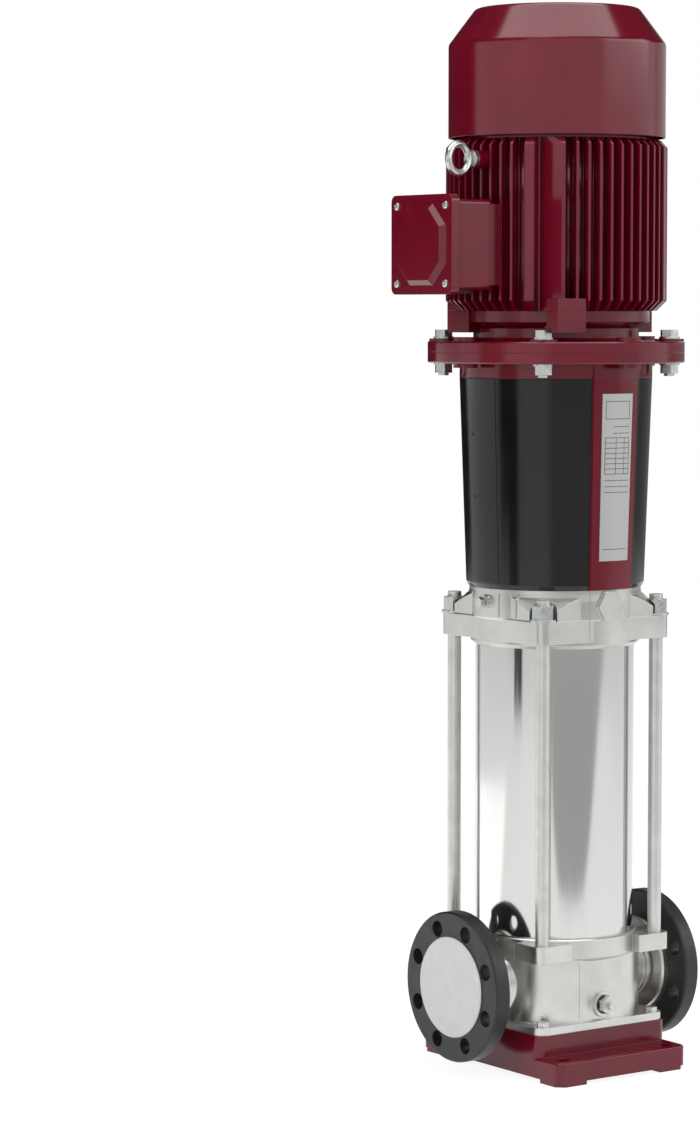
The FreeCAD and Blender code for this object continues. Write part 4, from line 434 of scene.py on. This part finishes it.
def solid_boxes(node):
    """The boxes of a node's separate solids, as lowest and highest corners, in order of place."""
    shape = bmesh.new()
    shape.from_mesh(frame["nodes"][node].data)
    bmesh.ops.remove_doubles(shape, verts=shape.verts, dist=0.001 * MM)
    left = set(shape.verts)
    boxes = []
    while left:
        stack = [left.pop()]
        group = list(stack)
        while stack:
            for edge in stack.pop().link_edges:
                for vertex in edge.verts:
                    if vertex in left:
                        left.remove(vertex)
                        stack.append(vertex)
                        group.append(vertex)
        boxes.append(([min(vertex.co[axis] for vertex in group) for axis in range(3)],
                      [max(vertex.co[axis] for vertex in group) for axis in range(3)]))
    shape.free()
    return [(Vector(low), Vector(high)) for low, high in sorted(boxes)]


def surface_of(node):
    """A node's surface, for rays to meet."""
    mesh = frame["nodes"][node].data
    return BVHTree.FromPolygons([vertex.co for vertex in mesh.vertices],
                                [tuple(face.vertices) for face in mesh.polygons])


def meet(surface, start, toward):
    """Where a ray meets a surface, and the surface's normal on the ray's side."""
    place, normal, _, _ = surface.ray_cast(start, toward)
    if place is not None and normal.dot(toward) > 0:
        normal = -normal
    return place, normal


def trace(surface, start, end, toward, step, jump=2.5 * MM):
    """Points and normals where rays sent from a line meet a surface, split where the surface steps."""
    start, end, toward = Vector(start), Vector(end), Vector(toward).normalized()
    count = max(2, round((end - start).length / step))
    runs = [[]]
    for number in range(count + 1):
        place, normal = meet(surface, start.lerp(end, number / count), toward)
        if place is None:
            runs.append([])
            continue
        if runs[-1] and abs((place - runs[-1][-1][0]).dot(toward)) > jump:
            runs.append([])
        runs[-1].append((place, normal))
    return [run for run in runs if len(run) > 1]


def ridge(run, foot, crest, rise, sink=0.15 * MM):
    """A low ridge along a traced run: its foot sinks into the surface and its crest stands proud."""
    rings = []
    for number, (place, normal) in enumerate(run):
        before, after = run[max(number - 1, 0)][0], run[min(number + 1, len(run) - 1)][0]
        side = (after - before).cross(normal).normalized()
        rings.append([place - side * foot / 2 - normal * sink, place - side * crest / 2 + normal * rise,
                      place + side * crest / 2 + normal * rise, place + side * foot / 2 - normal * sink])
    return loft(rings)


# Small pieces laid on the frame's own surfaces

def make_lid_screws():
    """Pan-head screws with a cross recess, which stand for the lid's plain ones."""
    shank, head = 2.5 * MM, 2.6 * MM
    # The head's outline from its seat to its crown, as shares of its radius and height
    dome = ((1, 0), (1, 0.4), (0.93, 0.68), (0.74, 0.88), (0.4, 0.98))
    # Depth below the crown, half length and half width of a recess's bar, at its mouth and its floor
    bar = ((-0.5 * MM, 2.9 * MM, 0.75 * MM), (1.7 * MM, 1.2 * MM, 0.45 * MM))
    # The recesses face as the screws stopped, in degrees: the first one's turn, and each next one's step
    first_turn, turn_step = 20, 33
    screws, recesses = [], []
    for number, (low, high) in enumerate(solid_boxes("terminal_box_screws")):
        centre = (low + high) / 2
        radius, length = (high.y - low.y) / 2, high.x - low.x
        profile = [(0, 0), (shank, 0), (shank, length - head)]
        profile += [(radius * across, length - head + head * up) for across, up in dome]
        places, faces = lathe([*profile, (0, length)], segments=32)
        # Turn +Z to -X, with the shank's end where the plain screw has it
        places = [Vector((high.x - place.z, centre.y + place.y, centre.z + place.x)) for place in places]
        screws.append((places, faces))
        for quarter in (0, 90):
            turn = math.radians(first_turn + turn_step * number + quarter)
            along = Vector((0, math.cos(turn), math.sin(turn)))
            across = Vector((0, -math.sin(turn), math.cos(turn)))
            rings = []
            for depth, reach, half in bar:
                middle = Vector((low.x + depth, centre.y, centre.z))
                rings.append([middle + along * reach * end + across * half * hand
                              for end, hand in ((-1, -1), (1, -1), (1, 1), (-1, 1))])
            recesses.append(loft(rings))
    mesh = carved(closed_mesh("lid_screw_blanks", screws), closed_mesh("lid_screw_recesses", recesses))
    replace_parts(new_piece("terminal_box_pan_screws", mesh, "zinc_steel"), "terminal_box_screws")


def make_guard_screws():
    """Small black countersunk screws of the two coupling guards."""
    # Radius and height of the screw's outline: foot, rim, broken edge, and round recess
    outline = ((0, -0.6), (2.4, -0.6), (2.4, 0.15), (2.1, 0.35), (1.1, 0.35), (1.0, -0.5), (0, -0.5))
    # Turns in radians either side of a guard's middle, and drops below the nameplate's top
    leans, drops = (-0.14, 0.14), (48 * MM, 120 * MM)
    places, faces = lathe([(radius * MM, height * MM) for radius, height in outline], segments=24)
    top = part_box("nameplate")[1].z
    screws = []
    for guard, middle in (("coupling_guard_left", math.pi), ("coupling_guard_right", 0.0)):
        surface = surface_of(guard)
        for lean in leans:
            out, _ = directions(middle + lean)
            for drop in drops:
                seat, normal = meet(surface, out * RAY_START + UP * (top - drop), -out)
                turn = normal.to_track_quat("Z", "Y")
                screws.append(([seat + turn @ place for place in places], faces))
    new_piece("guard_panel_screws", closed_mesh("guard_panel_screws", screws), "black_gloss_guard",
              FINISHES["spring_steel"])


def make_corner_ribs():
    """Four broad cast ribs that stand between the motor frame's sets of fins."""
    low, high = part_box("motor_frame")
    bottom, top = low.z + FRAME_END_GAP, high.z - FRAME_END_GAP
    foot, crest, half_width, draft = 107.2 * MM, 129 * MM, 6 * MM, 0.05
    # Reach and height of the rib's outline, cut at its ends as the fins are
    outline = ((foot, bottom), (116.7 * MM, bottom), (crest, low.z + 12 * MM), (crest, high.z - 8 * MM),
               (120.8 * MM, top), (foot, top))
    # The turn of the rib between the suction side and the nameplate side, in degrees
    front_rib = 217.4
    ribs = []
    for quarter in range(4):
        out, side = directions(math.radians(front_rib + 90 * quarter))
        # The flanks lean by the draft that lets the casting out of its mould
        flanks = []
        for hand in (-1, 1):
            flanks.append([out * reach + side * hand * (half_width + draft * (crest - reach))
                           + UP * level for reach, level in outline])
        ribs.append(loft(flanks))
    mesh = closed_mesh("frame_corner_ribs", ribs, bevel=0.7 * MM)
    new_piece("frame_corner_ribs", mesh, "red_gloss_paint")


def make_fin_roots():
    """The hollow fillets that a casting has between its fins, seated on the motor frame's barrel."""
    low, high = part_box("motor_frame")
    levels = (low.z + FRAME_END_GAP, high.z - FRAME_END_GAP)
    # The barrel's radius, and how far a hollow reaches into the fins and the barrel and lies above it
    barrel, overlap, sink, rise_above, steps = 108 * MM, 0.3 * MM, 1.5 * MM, 0.1 * MM, 12
    # Turns in degrees from the middle of a side: from fin to fin, and half of a fin's root
    fins, pitch, half_fin = 10, 6.2, 1.17
    first_gap = -pitch * (fins - 1) / 2
    gaps = [(first_gap + pitch * gap + half_fin, first_gap + pitch * (gap + 1) - half_fin)
            for gap in range(fins - 1)]
    # The gaps beside the corner ribs
    gaps += [(-34.1, -29.07), (29.07, 33.7)]
    hollows = []
    for quarter in range(4):
        for start, end in gaps:
            out, side = directions(math.radians(90 * quarter + (start + end) / 2))
            half = barrel * math.radians(end - start) / 2 + overlap
            profile = [(-half, -sink), (half, -sink)]
            for step in range(steps + 1):
                angle = math.pi * step / steps
                profile.append((half * math.cos(angle), half * (1 - math.sin(angle)) + rise_above))
            hollows.append(loft([[out * (barrel + rise) + side * shift + UP * level
                                  for shift, rise in profile] for level in levels]))
    mesh = closed_mesh("frame_fin_roots", hollows)
    # The ends stay flat, so that the hollows shade evenly over their whole length
    for face in mesh.polygons:
        face.use_smooth = len(face.vertices) == 4
    new_piece("frame_fin_roots", mesh, "red_gloss_paint")


def make_parting_lines():
    """Thin lines of metal, 0.3 mm high, where the halves of a casting's mould met."""
    # Each casting with the place of its line along the ports' axis, and how far the line's ends are
    # from the casting's foot and top
    for label, node, along, from_foot, from_top in (
            ("base_parting_lines", "pump_base", -33 * MM, 20 * MM, 29 * MM),
            ("head_parting_lines", "pump_head", -26 * MM, 9 * MM, 2 * MM)):
        low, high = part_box(node)
        surface = surface_of(node)
        ridges = []
        for side in (-1, 1):
            start = (along, side * RAY_START, low.z + from_foot)
            end = (along, side * RAY_START, high.z - from_top)
            ridges += [ridge(run, foot=1.4 * MM, crest=0.4 * MM, rise=0.3 * MM)
                       for run in trace(surface, start, end, (0, -side, 0), step=1.5 * MM)]
        new_piece(label, closed_mesh(label, ridges), "cast_stainless")


def make_head_ribs():
    """Low cast ribs that stiffen the pump head's slope above each port, two on each side."""
    low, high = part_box("pump_head")
    bottom, top = low.z + 36 * MM, high.z - 5 * MM
    surface = surface_of("pump_head")
    ridges = []
    for side in (-1, 1):
        for beside in (20 * MM, 46 * MM):
            start = (side * RAY_START, side * beside, bottom)
            end = (side * RAY_START, side * beside, top)
            ridges += [ridge(run, foot=2.6 * MM, crest=1.4 * MM, rise=1.2 * MM)
                       for run in trace(surface, start, end, (-side, 0, 0), step=1.5 * MM, jump=6 * MM)]
    new_piece("head_slope_ribs", closed_mesh("head_slope_ribs", ridges), "cast_stainless")


def make_plate_ruling():
    """The empty form printed on the rating plate: a title field, ruled rows in columns, a foot line."""
    low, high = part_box("nameplate")
    surface = surface_of("nameplate")
    length, half = high.z - low.z, (high.x - low.x) / 2
    # Printed lines are about 0.3 mm wide, drawn at 0.8 mm so that they show
    line, ink, sink = 0.8 * MM, 0.04 * MM, 0.1 * MM
    # Places across are shares of the plate's half width, and places down are shares of its length
    margin, short_start = 0.78, -0.3
    title, short_lines = (0.045, 0.15), (0.196, 0.235)
    rows, columns = [0.262 + 0.031 * row for row in range(8)], (-0.1, 0.45)
    long_lines = (*title, *rows, 0.518, 0.554, 0.589, 0.93)
    # Start and end of each line, and the step at which it follows the plate
    lines = [((-margin, down), (margin, down), 4 * MM) for down in long_lines]
    lines += [((short_start, down), (margin, down), 4 * MM) for down in short_lines]
    lines += [((across, title[0]), (across, title[1]), 6 * MM) for across in (-margin, margin)]
    lines += [((across, rows[0]), (across, rows[-1]), 6 * MM) for across in (-margin, *columns, margin)]
    ridges = []
    for *ends, step in lines:
        start, end = [(half * across, -RAY_START, high.z - length * down) for across, down in ends]
        ridges += [ridge(run, line, line, ink, sink)
                   for run in trace(surface, start, end, (0, 1, 0), step)]
    new_piece("nameplate_ruling", closed_mesh("nameplate_ruling", ridges), "entry_plastic",
              screen_print_ink())


def thread(axis, radius, low, high, pitch):
    """A closed helical crest around an upright rod, which fades at both ends."""
    steps_per_turn, fade_steps = 24, 6
    root, crest, root_half, crest_half = -0.2 * MM, 0.24 * MM, 0.42 * pitch, 0.08 * pitch
    # The helix starts and ends a quarter of its pitch inside the stretch
    inset = 0.25
    turns = (high - low) / pitch - 2 * inset
    steps = max(8, round(turns * steps_per_turn))
    rings = []
    for number in range(steps + 1):
        out, _ = directions(math.tau * turns * number / steps)
        middle = axis + UP * (low + pitch * (inset + turns * number / steps))
        proud = crest * min(1.0, number / fade_steps, (steps - number) / fade_steps)
        section = ((root, -root_half), (proud, -crest_half), (proud, crest_half), (root, root_half))
        rings.append([middle + out * (radius + reach) + UP * rise for reach, rise in section])
    return loft(rings)


def make_threads():
    """The threads that show: M16 above the staybolts' nuts, M12 below the motor flange's nuts."""
    top_chamfer, foot_chamfer = 1 * MM, 0.5 * MM
    for label, rods, nuts, radius, pitch, slot in (
            ("staybolt_threads", "staybolts", "staybolt_nuts", 8 * MM, 2 * MM, "stainless_rod"),
            ("flange_bolt_threads", "motor_flange_bolts", "motor_flange_nuts", 6 * MM, 1.75 * MM,
             "zinc_steel")):
        nut_low, nut_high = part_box(nuts)
        crests = []
        for low, high in solid_boxes(rods):
            # The thread shows on the side where the rod ends just past its nut
            if high.z - nut_high.z < nut_low.z - low.z:
                start, end = nut_high.z, high.z - top_chamfer
            else:
                start, end = low.z + foot_chamfer, nut_low.z
            axis = Vector(((low.x + high.x) / 2, (low.y + high.y) / 2, 0))
            crests.append(thread(axis, radius, start, end, pitch))
        new_piece(label, closed_mesh(label, crests, smooth=True), slot)


make_lid_screws()
make_guard_screws()
make_corner_ribs()
make_fin_roots()
make_parting_lines()
make_head_ribs()
make_plate_ruling()
make_threads()


# Floor, reflection cards, lamps and camera

def new_look(name):
    """A material of the studio, and its node tree."""
    material = bpy.data.materials.new(name)
    material.use_nodes = True
    return material, material.node_tree


def background_rays(tree):
    """One for the rays that show the white background: camera, mirror and glass rays."""
    path = add(tree, "ShaderNodeLightPath")
    seen = add(tree, "ShaderNodeMath", {0: (path, "Is Camera Ray"), 1: (path, "Is Glossy Ray")},
               operation="MAXIMUM")
    return add(tree, "ShaderNodeMath", {0: (seen, "Value"), 1: (path, "Is Transmission Ray")},
               operation="MAXIMUM")


def make_floor():
    """A round floor that mostly glows white to the camera, so that only the soft shadow stays on it."""
    mesh = bpy.data.meshes.new("studio_floor")
    shape = bmesh.new()
    bmesh.ops.create_circle(shape, cap_ends=True, segments=96, radius=FLOOR_RADIUS)
    shape.to_mesh(mesh)
    shape.free()
    material, tree = new_look("pale_floor")
    shader = tree.nodes["Principled BSDF"]
    shader.inputs["Base Color"].default_value = linear("F4F4F4")
    shader.inputs["Roughness"].default_value = 0.9
    shader.inputs["Specular IOR Level"].default_value = 0.0
    # In reflections the floor greys away from the object, as a lit studio floor does
    place = add(tree, "ShaderNodeTexCoord")
    distance = add(tree, "ShaderNodeVectorMath", {0: (place, "Object")}, operation="LENGTH")
    faded = add(tree, "ShaderNodeMapRange", {
        "Value": (distance, "Value"), "From Min": FLOOR_NEAR[0], "To Min": FLOOR_NEAR[1],
        "From Max": FLOOR_FAR[0], "To Max": FLOOR_FAR[1]})
    path = add(tree, "ShaderNodeLightPath")
    strength = add(tree, "ShaderNodeMix", {"Factor": (path, "Is Camera Ray"), "A": (faded, "Result"),
                                           "B": FLOOR_WHITE})
    glow = add(tree, "ShaderNodeEmission", {"Color": (1, 1, 1, 1), "Strength": (strength, "Result")})
    share = add(tree, "ShaderNodeMath", {0: (background_rays(tree), "Value"), 1: FLOOR_GLOW_SHARE},
                operation="MULTIPLY")
    mix = add(tree, "ShaderNodeMixShader", {0: (share, "Value"), 1: (shader, "BSDF"),
                                            2: (glow, "Emission")})
    tree.links.new(mix.outputs["Shader"], tree.nodes["Material Output"].inputs["Surface"])
    mesh.materials.append(material)
    new_object("studio_floor", mesh)


def make_world():
    """White to the camera and in reflections, a plain soft light to everything else."""
    world = bpy.data.worlds.new("studio")
    bpy.context.scene.world = world
    world.use_nodes = True
    tree = world.node_tree
    tree.nodes.clear()
    strength = add(tree, "ShaderNodeMapRange", {"Value": (background_rays(tree), "Value"),
                                                "To Min": BACKDROP_LIGHT, "To Max": BACKDROP_WHITE})
    light = add(tree, "ShaderNodeBackground", {"Color": (1, 1, 1, 1), "Strength": (strength, "Result")})
    add(tree, "ShaderNodeOutputWorld", {"Surface": (light, "Background")})


def make_card(name, spot, grid, brightness):
    """A card of the studio that only reflections see, with a soft edge one cell of its grid wide.

    spot gives the place of each grid point from two shares between 0 and 1.
    """
    across, up = grid
    points = [(i, j) for j in range(up + 1) for i in range(across + 1)]
    row = across + 1
    cells = [(j * row + i, j * row + i + 1, (j + 1) * row + i + 1, (j + 1) * row + i)
             for j in range(up) for i in range(across)]
    mesh = bpy.data.meshes.new(name)
    mesh.from_pydata([spot(i / across, j / up) for i, j in points], [], cells)
    cover = mesh.attributes.new("cover", "FLOAT", "POINT")
    for number, (i, j) in enumerate(points):
        cover.data[number].value = float(0 < i < across and 0 < j < up)
    material, tree = new_look(name)
    tree.nodes.remove(tree.nodes["Principled BSDF"])
    glow = add(tree, "ShaderNodeEmission", {"Color": (1, 1, 1, 1), "Strength": brightness})
    clear = add(tree, "ShaderNodeBsdfTransparent")
    share = add(tree, "ShaderNodeAttribute", attribute_name="cover")
    mix = add(tree, "ShaderNodeMixShader", {0: (share, "Fac"), 1: (clear, "BSDF"),
                                            2: (glow, "Emission")})
    tree.links.new(mix.outputs["Shader"], tree.nodes["Material Output"].inputs["Surface"])
    mesh.materials.append(material)
    card = new_object(name, mesh)
    card.visible_camera = False
    card.visible_diffuse = False
    card.visible_transmission = False
    card.visible_shadow = False


def between(ends, share):
    return ends[0] + (ends[1] - ends[0]) * share


def wall(turns, distance, heights):
    """Places on an upright curved wall around the object."""
    def spot(across, up):
        out, _ = directions(math.radians(between(turns, across)))
        return tuple(out * distance + UP * between(heights, up))
    return spot


def wedge(turns, half_turn, distances):
    """Places on a rounded wedge just above the floor, which widens away from the object."""
    # A power well under one opens the wedge quickly, which rounds its near end
    rounding, height = 0.28, 4 * MM

    def spot(across, up):
        turn = between(turns, up) + half_turn * up ** rounding * (2 * across - 1)
        out, _ = directions(math.radians(turn))
        return tuple(out * between(distances, up) + UP * height)
    return spot


def ceiling(xs, ys, height):
    """Places on a level card overhead."""
    def spot(across, up):
        return between(xs, across), between(ys, up), height
    return spot


def make_lamp(name, place, target_height, size, watts):
    """A soft rectangular lamp aimed at the object's axis, which reflections don't show."""
    data = bpy.data.lights.new(name, "AREA")
    data.shape = "RECTANGLE"
    data.size, data.size_y = size
    data.energy = watts
    lamp = new_object(name, data)
    lamp.location = place
    lamp.rotation_euler = (UP * target_height - Vector(place)).to_track_quat("-Z", "Y").to_euler()
    lamp.visible_glossy = False


def make_camera():
    data = bpy.data.cameras.new("photo_camera")
    data.lens = CAMERA_LENS
    data.sensor_width = CAMERA_SENSOR
    data.sensor_fit = "AUTO"
    camera = new_object("photo_camera", data)
    camera.location = CAMERA_PLACE
    camera.rotation_euler = (math.pi / 2 - CAMERA_PITCH, 0, -CAMERA_TURN)
    bpy.context.scene.camera = camera


make_camera()
make_floor()
make_world()
make_lamp("key_left", (-3.2, -0.6, 1.8), target_height=0.6, size=(1.6, 2.4), watts=38)
make_lamp("fill_right", (2.0, -3.0, 1.6), target_height=0.7, size=(1.6, 2.4), watts=30)
make_lamp("top_soft", (-0.4, -0.6, 3.2), target_height=0.6, size=(2.4, 2.4), watts=26)

# What the paint and the polished steel reflect. A wall is given by its two turns, its distance and its
# heights, a wedge by its turns, half its spread and its distances, and a ceiling by its sides and height.
# Turns are in degrees from the discharge side, against the clock seen from above
# A bright panel with dark around it overhead: the lit tops and shoulders
make_card("top_box", ceiling((-1.9, 1.3), (-1.5, 1.02), 3.0), grid=(28, 24), brightness=2.8)
make_card("dark_ceiling", ceiling((-3.4, 3.4), (-3.4, 3.4), 3.3), grid=(20, 20), brightness=0.05)
# Dark walls around the suction side: the deep red and black there
make_card("dark_wall_left", wall((58, 139), 3.0, (0.80, 3.3)), grid=(24, 40), brightness=0.02)
make_card("dark_wall_left_high", wall((130, 200), 3.1, (1.75, 3.3)), grid=(24, 20), brightness=0.1)
make_card("dark_wall_back", wall((44, 100), 3.2, (0.24, 0.92)), grid=(18, 16), brightness=0.02)
# The narrow dark stripe down the sleeve and the guard
make_card("dark_strip", wall((160, 187), 3.0, (0.26, 0.87)), grid=(10, 20), brightness=0.03)
make_card("dark_strip_low", wall((171, 185), 3.0, (0.08, 0.3)), grid=(10, 8), brightness=0.05)
# Greys and a bright panel on the discharge side: the sleeve's right flank and the lit fins
make_card("grey_wall_low", wall((-14, 52), 3.2, (0.26, 0.9)), grid=(16, 12), brightness=0.22)
make_card("grey_wall_right", wall((-8, 60), 3.0, (0.9, 1.9)), grid=(16, 20), brightness=0.55)
make_card("dark_wall_right_high", wall((-12, 60), 3.0, (1.8, 3.3)), grid=(16, 20), brightness=0.04)
make_card("soft_box_right", wall((-80, -16), 3.2, (1.35, 2.9)), grid=(16, 16), brightness=2.8)
# Shade and light on the floor: the grey tongue in the sleeve, and the pale foot of the pump base
make_card("floor_shade", wedge((-104, -93), 47, (1.2, 6.0)), grid=(14, 24), brightness=0.45)
make_card("floor_shade_far", wall((-140, -46), 6.0, (0.0, 0.87)), grid=(16, 10), brightness=0.4)
make_card("floor_sunlit", wedge((118, 116), 46, (0.4, 2.6)), grid=(14, 16), brightness=1.5)
bpy.context.scene.view_settings.view_transform = "Standard"
